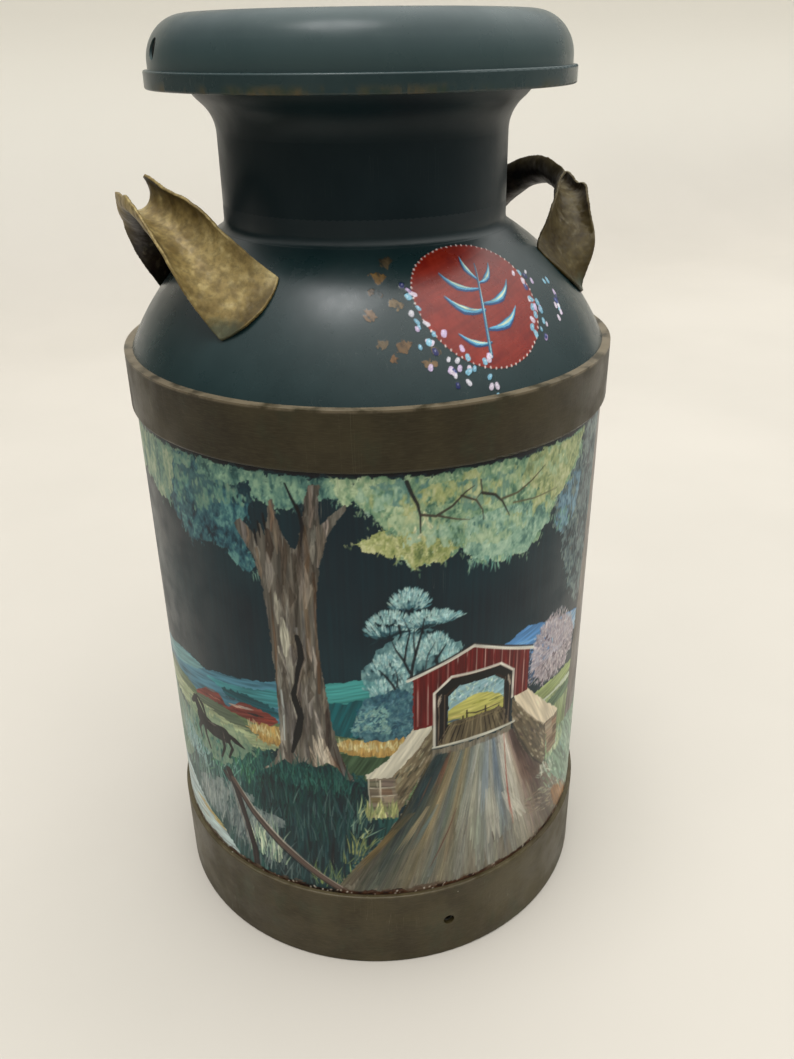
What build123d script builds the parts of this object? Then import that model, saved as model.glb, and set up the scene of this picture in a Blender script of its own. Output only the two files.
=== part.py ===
"""A ten-gallon steel milk can with a lift-off umbrella lid.

Frame: millimetres, +Z up, origin on the floor at the centre of the foot.
The two carrying handles stand on the X axis, and the front of the can faces -Y.
"""

import os
from math import atan2, cos, degrees, radians, sin, sqrt

from build123d import *

os.makedirs("parts", exist_ok=True)

# ---- driving dimensions ----
SHEET = 1.3  # gauge of the pressed sheets
SHELL_RADIUS = 165.0  # outside of the side wall
SHELL_TOP = 421.0
FOOT_GAUGE = 3.5  # gauge of the two strap hoops
FOOT_FLANGE = 12.0  # width of the flat ring that the can stands on
BOTTOM_HOOP_HEIGHT = 68.5
BOTTOM_HEAD_HEIGHT = 44.0  # underside of the can's bottom above the floor
BOTTOM_FLANGE = 12.0
DRAIN_HOLE_RADIUS = 4.25
DRAIN_HOLE_HEIGHT = 35.0
DRAIN_HOLE_ANGLE = -6.5  # degrees round from the front, towards +X

BAND_RADIUS = 168.2
BAND_BOTTOM = 407.5
BAND_TOP = 446.5
BAND_LOWER_ROUND = 2.5
BAND_UPPER_ROUND = 4.5

DOME_RADIUS = 173.8  # the breast's section is one arc about a point near the can's axis
DOME_CENTRE_RADIUS = 5.4
DOME_CENTRE_HEIGHT = 372.0
KNUCKLE_RADIUS = 9.0  # the turn from the breast's arc to its upright skirt
BREAST_SKIRT_BOTTOM = 397.0
BREAST_FILLET = 7.0  # soldered fillet round the foot of the neck

NECK_RADIUS = 93.5
NECK_BOTTOM = 514.0
NECK_TOP = 573.0
COLLAR_BOTTOM = 558.0  # the mouth's collar sits inside the neck
FLARE_START = 577.0
FLARE_RADIUS = 24.0
FLARE_ANGLE = 50.0  # degrees off upright at the steepest part of the flare
MOUTH_RADIUS = 113.6
MOUTH_WIRE_RADIUS = 2.2

LID_GAUGE = 1.4
LID_RADIUS = 131.3
LID_BOTTOM = 603.5
LID_TOP = 644.0
LID_CORNER = 26.0
LID_BAND_HEIGHT = 10.5
LID_BAND_GAUGE = 3.0
LID_HOLE_RADIUS = 6.0
LID_HOLE_HEIGHT = 625.5
PLUG_TOP_RADIUS = 101.0
PLUG_BOTTOM = 547.0
LID_GRIP_WIDTH = 24.0
LID_GRIP_GAUGE = 2.4
LID_GRIP_HEIGHT = 636.5
RIVET_RADIUS = 2.4

HANDLE_GAUGE = 2.0
HANDLE_LEAN = 39.5  # degrees that the loop leans outwards from upright
HANDLE_OFFSET = 105.5  # from the can's axis to the line between the feet
HANDLE_HEIGHT = 487.3
HANDLE_TWIST = 27.0  # degrees that the open side of the grip is turned back upright
HANDLE_FOOT_END = 85.5  # from the middle of the handle to the end of a foot
HANDLE_END_RADIUS = 36.0

SHELL_BORE = SHELL_RADIUS - SHEET
NECK_BORE = NECK_RADIUS - SHEET
COLLAR_BORE = NECK_BORE - SHEET
PLUG_RADIUS = COLLAR_BORE - 0.8


def dome_height(radius, inset=0.0):
    """Height of the breast's section at this radius, inset from its outer face."""
    return DOME_CENTRE_HEIGHT + sqrt((DOME_RADIUS - inset) ** 2 - (radius - DOME_CENTRE_RADIUS) ** 2)


def dome_radius(height):
    """Radius of the breast's outer face at this height."""
    return DOME_CENTRE_RADIUS + sqrt(DOME_RADIUS**2 - (height - DOME_CENTRE_HEIGHT) ** 2)


def dome_point(angle, inset=0.0):
    """Point on the breast's section, at an angle in degrees above its centre."""
    reach = DOME_RADIUS - inset
    return (
        DOME_CENTRE_RADIUS + reach * cos(radians(angle)),
        DOME_CENTRE_HEIGHT + reach * sin(radians(angle)),
    )


def knuckle_point(turn, inset=0.0):
    """Point on the knuckle: turn is 0 at the top of the skirt and 1 where the arc takes over."""
    reach = KNUCKLE_RADIUS - inset
    angle = radians(turn * KNUCKLE_ANGLE)
    return (
        SHELL_BORE - KNUCKLE_RADIUS + reach * cos(angle),
        DOME_CENTRE_HEIGHT + knuckle_up + reach * sin(angle),
    )


knuckle_across = SHELL_BORE - KNUCKLE_RADIUS - DOME_CENTRE_RADIUS
knuckle_up = sqrt((DOME_RADIUS - KNUCKLE_RADIUS) ** 2 - knuckle_across**2)
KNUCKLE_ANGLE = degrees(atan2(knuckle_up, knuckle_across))
DOME_MIDDLE = (KNUCKLE_ANGLE + 60) / 2  # an angle about half way up the breast's arc


def radial_plane(angle, height):
    """Plane on the can's axis whose normal points outwards, at an angle round from the front."""
    outwards = (sin(radians(angle)), -cos(radians(angle)), 0)
    return Plane(origin=(0, 0, height), x_dir=(0, 0, 1), z_dir=outwards)


def save(part, name):
    """Labels a finished piece and writes it as its own file."""
    part.label = name
    export_step(part, f"parts/{name}.step")


# ---- side wall: one rolled sheet, lapped at the back ----
SEAM_GAUGE = 1.0
SEAM_ANGLE = 5.0  # degrees that the lap covers

with BuildPart() as body_shell:
    with BuildSketch(Plane.XZ):
        with Locations((SHELL_BORE + SHEET / 2, (FOOT_GAUGE + SHELL_TOP) / 2)):
            Rectangle(SHEET, SHELL_TOP - FOOT_GAUGE)
    revolve(axis=Axis.Z)
    with BuildSketch(Plane.YZ):
        with Locations((SHELL_RADIUS + SEAM_GAUGE / 2, (BOTTOM_HOOP_HEIGHT + BAND_BOTTOM) / 2)):
            Rectangle(SEAM_GAUGE, BAND_BOTTOM - BOTTOM_HOOP_HEIGHT)
    revolve(axis=Axis.Z, revolution_arc=SEAM_ANGLE)
    with BuildSketch(radial_plane(DRAIN_HOLE_ANGLE, DRAIN_HOLE_HEIGHT)):
        Circle(DRAIN_HOLE_RADIUS)
    extrude(amount=2 * SHELL_RADIUS, mode=Mode.SUBTRACT)
save(body_shell.part, "body_shell")

# ---- bottom head: a shallow dished pan pressed into the wall ----
HEAD_CORNER = 8.0
HEAD_DISH = 3.0

with BuildPart() as bottom_head:
    with BuildSketch(Plane.XZ):
        with BuildLine():
            rim = BOTTOM_HEAD_HEIGHT + BOTTOM_FLANGE
            outer_wall = Line((SHELL_BORE, rim), (SHELL_BORE, BOTTOM_HEAD_HEIGHT + HEAD_CORNER))
            outer_corner = RadiusArc(
                outer_wall @ 1, (SHELL_BORE - HEAD_CORNER, BOTTOM_HEAD_HEIGHT), HEAD_CORNER
            )
            floor_under = Line(outer_corner @ 1, (0, BOTTOM_HEAD_HEIGHT - HEAD_DISH))
            middle = Line(floor_under @ 1, (0, BOTTOM_HEAD_HEIGHT - HEAD_DISH + SHEET))
            floor_over = Line(middle @ 1, (SHELL_BORE - HEAD_CORNER, BOTTOM_HEAD_HEIGHT + SHEET))
            inner_corner = RadiusArc(
                floor_over @ 1,
                (SHELL_BORE - SHEET, BOTTOM_HEAD_HEIGHT + HEAD_CORNER),
                -(HEAD_CORNER - SHEET),
            )
            inner_wall = Line(inner_corner @ 1, (SHELL_BORE - SHEET, rim))
            Line(inner_wall @ 1, outer_wall @ 0)
        make_face()
    revolve(axis=Axis.Z)
save(bottom_head.part, "bottom_head")

# ---- bottom hoop: a strap with its lower edge turned in to stand on ----
HOOP_RADIUS = SHELL_RADIUS + FOOT_GAUGE

with BuildPart() as bottom_hoop:
    with BuildSketch(Plane.XZ):
        with BuildLine():
            Polyline(
                (SHELL_RADIUS, FOOT_GAUGE),
                (SHELL_RADIUS, BOTTOM_HOOP_HEIGHT),
                (HOOP_RADIUS, BOTTOM_HOOP_HEIGHT),
                (HOOP_RADIUS, 0),
                (HOOP_RADIUS - FOOT_FLANGE, 0),
                (HOOP_RADIUS - FOOT_FLANGE, FOOT_GAUGE),
                close=True,
            )
        make_face()
        outer_corners = vertices().filter_by(lambda v: v.X > HOOP_RADIUS - 0.01)
        fillet(outer_corners, 1.2)
    revolve(axis=Axis.Z)
    with BuildSketch(radial_plane(DRAIN_HOLE_ANGLE, DRAIN_HOLE_HEIGHT)):
        Circle(DRAIN_HOLE_RADIUS)
    extrude(amount=2 * HOOP_RADIUS, mode=Mode.SUBTRACT)
save(bottom_hoop.part, "bottom_hoop")

# ---- breast: the pressed shoulder, with a straight skirt inside the wall ----
fillet_across = NECK_RADIUS + BREAST_FILLET - DOME_CENTRE_RADIUS
fillet_up = sqrt((DOME_RADIUS + BREAST_FILLET) ** 2 - fillet_across**2)
fillet_angle = degrees(atan2(fillet_up, fillet_across))

with BuildPart() as breast:
    with BuildSketch(Plane.XZ):
        with BuildLine():
            fillet_top = (NECK_RADIUS, DOME_CENTRE_HEIGHT + fillet_up)
            crown_inner = (NECK_RADIUS, dome_height(NECK_RADIUS, SHEET))
            solder = RadiusArc(fillet_top, dome_point(fillet_angle), -BREAST_FILLET)
            ThreePointArc(solder @ 1, dome_point(DOME_MIDDLE), dome_point(KNUCKLE_ANGLE))
            ThreePointArc(dome_point(KNUCKLE_ANGLE), knuckle_point(0.5), knuckle_point(0))
            Polyline(
                knuckle_point(0),
                (SHELL_BORE, BREAST_SKIRT_BOTTOM),
                (SHELL_BORE - SHEET, BREAST_SKIRT_BOTTOM),
                knuckle_point(0, SHEET),
            )
            ThreePointArc(
                knuckle_point(0, SHEET), knuckle_point(0.5, SHEET), dome_point(KNUCKLE_ANGLE, SHEET)
            )
            ThreePointArc(
                dome_point(KNUCKLE_ANGLE, SHEET), dome_point(DOME_MIDDLE, SHEET), crown_inner
            )
            Line(crown_inner, fillet_top)
        make_face()
    revolve(axis=Axis.Z)
save(breast.part, "breast")

# ---- breast hoop: the band over the joint of wall and breast ----
with BuildPart() as breast_hoop:
    with BuildSketch(Plane.XZ):
        with BuildLine():
            Polyline(
                knuckle_point(0),
                (SHELL_BORE, SHELL_TOP),
                (SHELL_RADIUS, SHELL_TOP),
                (SHELL_RADIUS, BAND_BOTTOM),
                (BAND_RADIUS, BAND_BOTTOM),
                (BAND_RADIUS, BAND_TOP),
                (dome_radius(BAND_TOP), BAND_TOP),
            )
            Line((dome_radius(BAND_TOP), BAND_TOP), dome_point(KNUCKLE_ANGLE))
            ThreePointArc(dome_point(KNUCKLE_ANGLE), knuckle_point(0.5), knuckle_point(0))
        make_face()
        corners = vertices().filter_by(lambda v: v.X > BAND_RADIUS - 0.01).sort_by(Axis.Y)
        fillet(corners[0], BAND_LOWER_ROUND)
        fillet(corners[-1], BAND_UPPER_ROUND)
    revolve(axis=Axis.Z)
save(breast_hoop.part, "breast_hoop")

# ---- neck: a straight tube ----
with BuildPart() as neck:
    with BuildSketch(Plane.XY.offset(NECK_BOTTOM)):
        Circle(NECK_RADIUS)
        Circle(NECK_BORE, mode=Mode.SUBTRACT)
    extrude(amount=NECK_TOP - NECK_BOTTOM)
save(neck.part, "neck")

# ---- mouth: a collar inside the neck, a flared bowl and an edge rolled over a wire ----
flare_across = FLARE_RADIUS * (1 - cos(radians(FLARE_ANGLE)))
flare_up = FLARE_RADIUS * sin(radians(FLARE_ANGLE))
bowl_radius = (MOUTH_RADIUS - NECK_RADIUS - flare_across) / (1 - cos(radians(FLARE_ANGLE)))
MOUTH_HEIGHT = FLARE_START + flare_up + bowl_radius * sin(radians(FLARE_ANGLE))
ROLL_RADIUS = MOUTH_WIRE_RADIUS + SHEET
ROLL_HEM = 3.0


def flare_point(angle, inset=0.0):
    """Point on the flare at the foot of the bowl, by its angle off upright."""
    reach = FLARE_RADIUS + inset
    return (
        NECK_RADIUS + FLARE_RADIUS - reach * cos(radians(angle)),
        FLARE_START + reach * sin(radians(angle)),
    )


def bowl_point(angle, inset=0.0):
    """Point on the side of the bowl, by its angle off upright."""
    reach = bowl_radius - inset
    return (
        MOUTH_RADIUS - bowl_radius + reach * cos(radians(angle)),
        MOUTH_HEIGHT - reach * sin(radians(angle)),
    )


with BuildPart() as mouth_bowl:
    with BuildSketch(Plane.XZ):
        with BuildLine():
            half_flare = FLARE_ANGLE / 2
            Polyline(
                flare_point(0),
                (NECK_RADIUS, NECK_TOP),
                (NECK_BORE, NECK_TOP),
                (NECK_BORE, COLLAR_BOTTOM),
                (COLLAR_BORE, COLLAR_BOTTOM),
                (COLLAR_BORE, NECK_TOP),
                (NECK_BORE, NECK_TOP + SHEET),
                flare_point(0, SHEET),
            )
            ThreePointArc(
                flare_point(0, SHEET), flare_point(half_flare, SHEET), flare_point(FLARE_ANGLE, SHEET)
            )
            ThreePointArc(
                flare_point(FLARE_ANGLE, SHEET), bowl_point(half_flare, SHEET), bowl_point(0, SHEET)
            )
            roll_centre = MOUTH_RADIUS + MOUTH_WIRE_RADIUS
            ThreePointArc(
                bowl_point(0, SHEET),
                (roll_centre, MOUTH_HEIGHT + ROLL_RADIUS),
                (roll_centre + ROLL_RADIUS, MOUTH_HEIGHT),
            )
            Polyline(
                (roll_centre + ROLL_RADIUS, MOUTH_HEIGHT),
                (roll_centre + ROLL_RADIUS, MOUTH_HEIGHT - ROLL_HEM),
                (roll_centre + MOUTH_WIRE_RADIUS, MOUTH_HEIGHT - ROLL_HEM),
                (roll_centre + MOUTH_WIRE_RADIUS, MOUTH_HEIGHT),
            )
            ThreePointArc(
                (roll_centre + MOUTH_WIRE_RADIUS, MOUTH_HEIGHT),
                (roll_centre, MOUTH_HEIGHT + MOUTH_WIRE_RADIUS),
                bowl_point(0),
            )
            ThreePointArc(bowl_point(0), bowl_point(half_flare), bowl_point(FLARE_ANGLE))
            ThreePointArc(flare_point(FLARE_ANGLE), flare_point(half_flare), flare_point(0))
        make_face()
    revolve(axis=Axis.Z)
save(mouth_bowl.part, "mouth_bowl")

with BuildPart() as mouth_rim_wire:
    with BuildSketch(Plane.XZ):
        with Locations((MOUTH_RADIUS + MOUTH_WIRE_RADIUS, MOUTH_HEIGHT)):
            Circle(MOUTH_WIRE_RADIUS)
    revolve(axis=Axis.Z)
save(mouth_rim_wire.part, "mouth_rim_wire")

# ---- carrying handles: flat feet on the breast, edges rolled up into a channel at the grip ----
# The loop is drawn in a leaning plane: y is across the handle, x is up the loop.
outwards = sin(radians(HANDLE_LEAN))
upwards = cos(radians(HANDLE_LEAN))
loop_up = Vector(outwards, 0, upwards)
strap_across = Vector(upwards, 0, -outwards)
loop_origin = Vector(HANDLE_OFFSET, 0, HANDLE_HEIGHT)

# Half a handle from foot to grip:
# (across, up the loop, slope, curl of each edge, twist, width of the strap laid flat).
FLUSH_CURL = -8.2  # the feet are dished the other way, to lie on the breast
HANDLE_STATIONS = [
    (91.5, -2.4, 29.0, FLUSH_CURL, 0.0, 50.0),
    (80.5, 3.5, 27.5, FLUSH_CURL, 0.0, 50.0),
    (72.0, 8.2, 33.0, -4.0, 0.0, 49.0),
    (65.0, 15.0, 49.0, 14.0, 4.0, 47.0),
    (57.0, 25.5, 51.0, 42.0, 9.0, 46.5),
    (43.5, 40.5, 44.0, 74.0, 16.0, 46.0),
    (25.0, 55.5, 32.0, 102.0, 23.0, 45.0),
    (11.0, 62.8, 17.0, 115.0, 26.0, 44.5),
    (0.0, 65.0, 0.0, 118.0, HANDLE_TWIST, 44.5),
]


def curl_point(reach, offset, angle):
    """Point on a strap curled to a radius, offset from its middle surface."""
    bend = reach + offset
    return (bend * sin(radians(angle)), reach - bend * cos(radians(angle)))


def strap_section(across, rise, slope, curl, twist, width):
    """Section of the strap as a curled band, on a plane square to the strap."""
    run = Vector(0, -cos(radians(slope)), 0) + loop_up * sin(radians(slope))
    outer = Vector(0, sin(radians(slope)), 0) + loop_up * cos(radians(slope))
    open_side = outer * cos(radians(twist)) - strap_across * sin(radians(twist))
    side = strap_across * cos(radians(twist)) + outer * sin(radians(twist))
    place = loop_origin + Vector(0, across, 0) + loop_up * rise
    reach = width / (2 * radians(curl))
    with BuildSketch(Plane(origin=place, x_dir=side, z_dir=side.cross(open_side))) as section:
        with BuildLine():
            inside = [curl_point(reach, -HANDLE_GAUGE / 2, curl * t) for t in (-1, 0, 1)]
            outside = [curl_point(reach, HANDLE_GAUGE / 2, curl * t) for t in (1, 0, -1)]
            ThreePointArc(*inside)
            Line(inside[2], outside[0])
            ThreePointArc(*outside)
            Line(outside[2], inside[0])
        make_face()
    return section


opposite_half = [
    (-across, rise, -slope, *shape) for across, rise, slope, *shape in reversed(HANDLE_STATIONS[:-1])
]
strap_sections = [strap_section(*station).sketch.face() for station in HANDLE_STATIONS + opposite_half]

FOOT_SLOPE = 26.5  # degrees that the foot falls away along the breast
foot_across, foot_rise = HANDLE_STATIONS[1][:2]
foot_reach = (HANDLE_FOOT_END - foot_across) / cos(radians(FOOT_SLOPE))

with BuildPart() as right_handle:
    loft(sections=strap_sections)
    with BuildSketch(Plane.XZ):
        with BuildLine():
            ThreePointArc(dome_point(10), dome_point(35), dome_point(60))
            Polyline(
                dome_point(60), (0, dome_point(60)[1]), (0, dome_point(10)[1]), dome_point(10)
            )
        make_face()
    revolve(axis=Axis.Z, mode=Mode.SUBTRACT)
    for hand in (1, -1):
        foot_run = Vector(0, hand * cos(radians(FOOT_SLOPE)), 0) - loop_up * sin(radians(FOOT_SLOPE))
        foot_up = Vector(0, hand * sin(radians(FOOT_SLOPE)), 0) + loop_up * cos(radians(FOOT_SLOPE))
        foot_place = loop_origin + Vector(0, hand * foot_across, 0) + loop_up * foot_rise
        with BuildSketch(Plane(origin=foot_place, x_dir=foot_run, z_dir=foot_up)):
            with Locations((10, 0)):
                Rectangle(40, 60)
            with Locations((foot_reach - HANDLE_END_RADIUS, 0)):
                Circle(HANDLE_END_RADIUS, mode=Mode.SUBTRACT)
        extrude(amount=9, both=True, mode=Mode.SUBTRACT)
save(right_handle.part, "right_handle")

with BuildPart() as left_handle:
    add(right_handle.part)
    mirror(about=Plane.YZ, mode=Mode.REPLACE)
save(left_handle.part, "left_handle")

# ---- lid: umbrella top with an opened centre and a banded lower edge ----
CORNER_ACROSS = LID_RADIUS - LID_CORNER
CORNER_RISE = LID_TOP - LID_CORNER
LIP_ROUND = 3.4
LIP_BOTTOM = 634.5


def corner_point(angle, inset=0.0):
    """Point on the umbrella's rounded corner, by its angle above level."""
    reach = LID_CORNER - inset
    return (CORNER_ACROSS + reach * cos(radians(angle)), CORNER_RISE + reach * sin(radians(angle)))


def lip_point(angle, inset=0.0):
    """Point on the rounded inner edge of the umbrella, by its angle above level."""
    reach = LIP_ROUND - inset
    centre = (PLUG_TOP_RADIUS + LIP_ROUND, LID_TOP - LIP_ROUND)
    return (centre[0] - reach * cos(radians(angle)), centre[1] + reach * sin(radians(angle)))


with BuildPart() as lid_umbrella:
    with BuildSketch(Plane.XZ):
        with BuildLine():
            skirt_inner = LID_RADIUS - LID_GAUGE
            lip_inner = PLUG_TOP_RADIUS + LID_GAUGE
            Line((LID_RADIUS, LID_BOTTOM), corner_point(0))
            ThreePointArc(corner_point(0), corner_point(45), corner_point(90))
            Line(corner_point(90), lip_point(90))
            ThreePointArc(lip_point(90), lip_point(45), lip_point(0))
            Polyline(
                lip_point(0),
                (PLUG_TOP_RADIUS, LIP_BOTTOM),
                (lip_inner, LIP_BOTTOM),
                lip_point(0, LID_GAUGE),
            )
            ThreePointArc(
                lip_point(0, LID_GAUGE), lip_point(45, LID_GAUGE), lip_point(90, LID_GAUGE)
            )
            Line(lip_point(90, LID_GAUGE), corner_point(90, LID_GAUGE))
            ThreePointArc(
                corner_point(90, LID_GAUGE), corner_point(45, LID_GAUGE), corner_point(0, LID_GAUGE)
            )
            Polyline(
                corner_point(0, LID_GAUGE), (skirt_inner, LID_BOTTOM), (LID_RADIUS, LID_BOTTOM)
            )
        make_face()
    revolve(axis=Axis.Z)
    with BuildSketch(radial_plane(-90, LID_HOLE_HEIGHT).offset(PLUG_TOP_RADIUS + 12)):
        Circle(LID_HOLE_RADIUS)
    extrude(amount=30, mode=Mode.SUBTRACT)
save(lid_umbrella.part, "lid_umbrella")

with BuildPart() as lid_rim_band:
    with BuildSketch(Plane.XZ):
        with Locations((LID_RADIUS + LID_BAND_GAUGE / 2, LID_BOTTOM + LID_BAND_HEIGHT / 2)):
            Rectangle(LID_BAND_GAUGE, LID_BAND_HEIGHT)
        fillet(vertices().filter_by(lambda v: v.X > LID_RADIUS + 0.01), 1.3)
    revolve(axis=Axis.Z)
save(lid_rim_band.part, "lid_rim_band")

# ---- rivets that hold the lid's grip: two at each end, running along X ----
RIVET_SPREAD = 12.0
RIVET_HEIGHT = 617.5
RIVET_HEAD_RADIUS = 4.2
RIVET_HEAD_HEIGHT = 1.8
PLUG_TOP_BORE = PLUG_TOP_RADIUS - LID_GAUGE
TAB_INNER = PLUG_TOP_BORE - LID_GRIP_GAUGE
rivet_places = [(side, hand * RIVET_SPREAD / 2) for side in (1, -1) for hand in (1, -1)]

with BuildPart() as lid_rivets:
    for side, along in rivet_places:
        with BuildSketch(Plane(origin=(0, along, RIVET_HEIGHT), x_dir=(0, 1, 0), z_dir=(side, 0, 0))
                         .offset(TAB_INNER)):
            Circle(RIVET_RADIUS)
        extrude(amount=PLUG_TOP_RADIUS - TAB_INNER + 0.8)
        for face_at, head_way in ((TAB_INNER, -side), (PLUG_TOP_RADIUS, side)):
            with BuildSketch(Plane(origin=(side * face_at, along, RIVET_HEIGHT), x_dir=(0, 1, 0),
                                   z_dir=(head_way, 0, 0))):
                Circle(RIVET_HEAD_RADIUS)
            extrude(amount=RIVET_HEAD_HEIGHT, taper=35)
save(lid_rivets.part, "lid_rivets")

# ---- plug: a deep cup that drops into the neck ----
PLUG_CORNER = 8.0
PLUG_TOP = 642.5
PLUG_FLARE_RADIUS = FLARE_RADIUS + NECK_RADIUS - PLUG_RADIUS
PLUG_FLARE_ANGLE = 45.0
plug_turn = PLUG_TOP_RADIUS - PLUG_RADIUS - PLUG_FLARE_RADIUS * (1 - cos(radians(PLUG_FLARE_ANGLE)))
PLUG_TURN_RADIUS = plug_turn / (1 - cos(radians(PLUG_FLARE_ANGLE)))
PLUG_TURN_HEIGHT = FLARE_START + (PLUG_FLARE_RADIUS + PLUG_TURN_RADIUS) * sin(radians(PLUG_FLARE_ANGLE))


def plug_flare_point(angle, inset=0.0):
    """Point on the lower, hollow curve of the plug's wall, by its angle off upright."""
    reach = PLUG_FLARE_RADIUS + inset
    return (
        PLUG_RADIUS + PLUG_FLARE_RADIUS - reach * cos(radians(angle)),
        FLARE_START + reach * sin(radians(angle)),
    )


def plug_turn_point(angle, inset=0.0):
    """Point on the upper, full curve of the plug's wall, by its angle off upright."""
    reach = PLUG_TURN_RADIUS - inset
    return (
        PLUG_TOP_RADIUS - PLUG_TURN_RADIUS + reach * cos(radians(angle)),
        PLUG_TURN_HEIGHT - reach * sin(radians(angle)),
    )


with BuildPart() as lid_plug:
    with BuildSketch(Plane.XZ):
        with BuildLine():
            lean = PLUG_FLARE_ANGLE
            bore = PLUG_RADIUS - LID_GAUGE
            Polyline(
                plug_turn_point(0), (PLUG_TOP_RADIUS, PLUG_TOP), (PLUG_TOP_BORE, PLUG_TOP),
                plug_turn_point(0, LID_GAUGE),
            )
            ThreePointArc(
                plug_turn_point(0, LID_GAUGE), plug_turn_point(lean / 2, LID_GAUGE),
                plug_turn_point(lean, LID_GAUGE),
            )
            ThreePointArc(
                plug_flare_point(lean, LID_GAUGE), plug_flare_point(lean / 2, LID_GAUGE),
                plug_flare_point(0, LID_GAUGE),
            )
            inner_side = Line(plug_flare_point(0, LID_GAUGE), (bore, PLUG_BOTTOM + PLUG_CORNER))
            inner_turn = RadiusArc(
                inner_side @ 1,
                (bore - PLUG_CORNER + LID_GAUGE, PLUG_BOTTOM + LID_GAUGE),
                PLUG_CORNER - LID_GAUGE,
            )
            Polyline(
                inner_turn @ 1, (0, PLUG_BOTTOM + LID_GAUGE), (0, PLUG_BOTTOM),
                (PLUG_RADIUS - PLUG_CORNER, PLUG_BOTTOM),
            )
            outer_turn = RadiusArc(
                (PLUG_RADIUS - PLUG_CORNER, PLUG_BOTTOM), (PLUG_RADIUS, PLUG_BOTTOM + PLUG_CORNER),
                -PLUG_CORNER,
            )
            Line(outer_turn @ 1, plug_flare_point(0))
            ThreePointArc(plug_flare_point(0), plug_flare_point(lean / 2), plug_flare_point(lean))
            ThreePointArc(plug_turn_point(lean), plug_turn_point(lean / 2), plug_turn_point(0))
        make_face()
    revolve(axis=Axis.Z)
    for side, along in rivet_places:
        with BuildSketch(Plane(origin=(side * TAB_INNER, along, RIVET_HEIGHT), x_dir=(0, 1, 0),
                               z_dir=(side, 0, 0))):
            Circle(RIVET_RADIUS)
        extrude(amount=12, mode=Mode.SUBTRACT)
save(lid_plug.part, "lid_plug")

# ---- grip: a strap across the recess with its ends turned down and riveted ----
TAB_BOTTOM = 609.5
GRIP_SHOULDER = 628.5  # top of the strap where its ends turn down

with BuildPart() as lid_handle:
    with BuildSketch(Plane.XZ):
        with BuildLine():
            reach = PLUG_TOP_BORE + 0.5
            under = GRIP_SHOULDER - LID_GRIP_GAUGE
            ThreePointArc((-reach, GRIP_SHOULDER), (0, LID_GRIP_HEIGHT), (reach, GRIP_SHOULDER))
            Polyline(
                (reach, GRIP_SHOULDER), (reach, TAB_BOTTOM), (TAB_INNER, TAB_BOTTOM), (TAB_INNER, under)
            )
            ThreePointArc(
                (TAB_INNER, under), (0, LID_GRIP_HEIGHT - LID_GRIP_GAUGE), (-TAB_INNER, under)
            )
            Polyline(
                (-TAB_INNER, under), (-TAB_INNER, TAB_BOTTOM), (-reach, TAB_BOTTOM), (-reach, GRIP_SHOULDER)
            )
        make_face()
        shoulders = vertices().filter_by(lambda v: v.Y > under - 0.5).sort_by(Axis.Y)
        fillet(shoulders.filter_by(lambda v: abs(v.X) > reach - 0.1), 5.0)
        fillet(vertices().filter_by(lambda v: abs(v.Y - under) < 0.1), 2.6)
    extrude(amount=LID_GRIP_WIDTH / 2, both=True)
    with BuildSketch(Plane.XY.offset(TAB_BOTTOM - 5)):
        Circle(PLUG_TOP_BORE)
    extrude(amount=60, mode=Mode.INTERSECT)
    for side, along in rivet_places:
        with BuildSketch(Plane(origin=(side * (TAB_INNER - 4), along, RIVET_HEIGHT),
                               x_dir=(0, 1, 0), z_dir=(side, 0, 0))):
            Circle(RIVET_RADIUS)
        extrude(amount=12, mode=Mode.SUBTRACT)
save(lid_handle.part, "lid_handle")
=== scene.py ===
"""Looks for a steel milk can with a painted wall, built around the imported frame.

Lengths are metres unless a name or a comment says millimetres. The wall's painting is laid out on the
unrolled sheet: degrees round from the front, positive towards +X, and millimetres above the floor.
"""

import itertools
import math

import bpy
import numpy as np
from mathutils import Matrix, Vector


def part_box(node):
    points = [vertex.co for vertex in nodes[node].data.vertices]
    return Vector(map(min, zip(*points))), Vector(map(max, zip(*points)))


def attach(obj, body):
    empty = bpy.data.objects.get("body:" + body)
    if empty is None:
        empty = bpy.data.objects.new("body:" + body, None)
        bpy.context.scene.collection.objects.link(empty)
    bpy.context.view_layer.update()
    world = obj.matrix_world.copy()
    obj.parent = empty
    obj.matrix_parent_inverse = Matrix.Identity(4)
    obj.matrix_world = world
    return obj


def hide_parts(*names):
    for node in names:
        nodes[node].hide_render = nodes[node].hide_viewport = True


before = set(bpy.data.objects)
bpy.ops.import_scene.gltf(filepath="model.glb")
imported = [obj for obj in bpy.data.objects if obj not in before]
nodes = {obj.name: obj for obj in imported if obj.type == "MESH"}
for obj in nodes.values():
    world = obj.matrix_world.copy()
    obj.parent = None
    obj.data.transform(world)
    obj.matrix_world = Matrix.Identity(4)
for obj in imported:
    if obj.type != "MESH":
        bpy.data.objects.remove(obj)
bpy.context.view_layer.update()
rng = np.random.default_rng(41)

MM = 0.001
WALL_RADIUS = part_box("body_shell")[1].x / MM  # outside of the side wall
WALL_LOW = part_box("bottom_hoop")[1].z / MM  # where the bottom hoop ends
WALL_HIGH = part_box("breast_hoop")[0].z / MM  # where the breast hoop starts
PER_DEGREE = math.radians(WALL_RADIUS)  # millimetres along the wall for one degree
PITCH = 0.6  # spacing of the painted meshes, in millimetres


# ---- paint: strokes laid on a flat sheet, in millimetres ----
NOISE = np.random.default_rng(5).random((256, 256))


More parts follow.
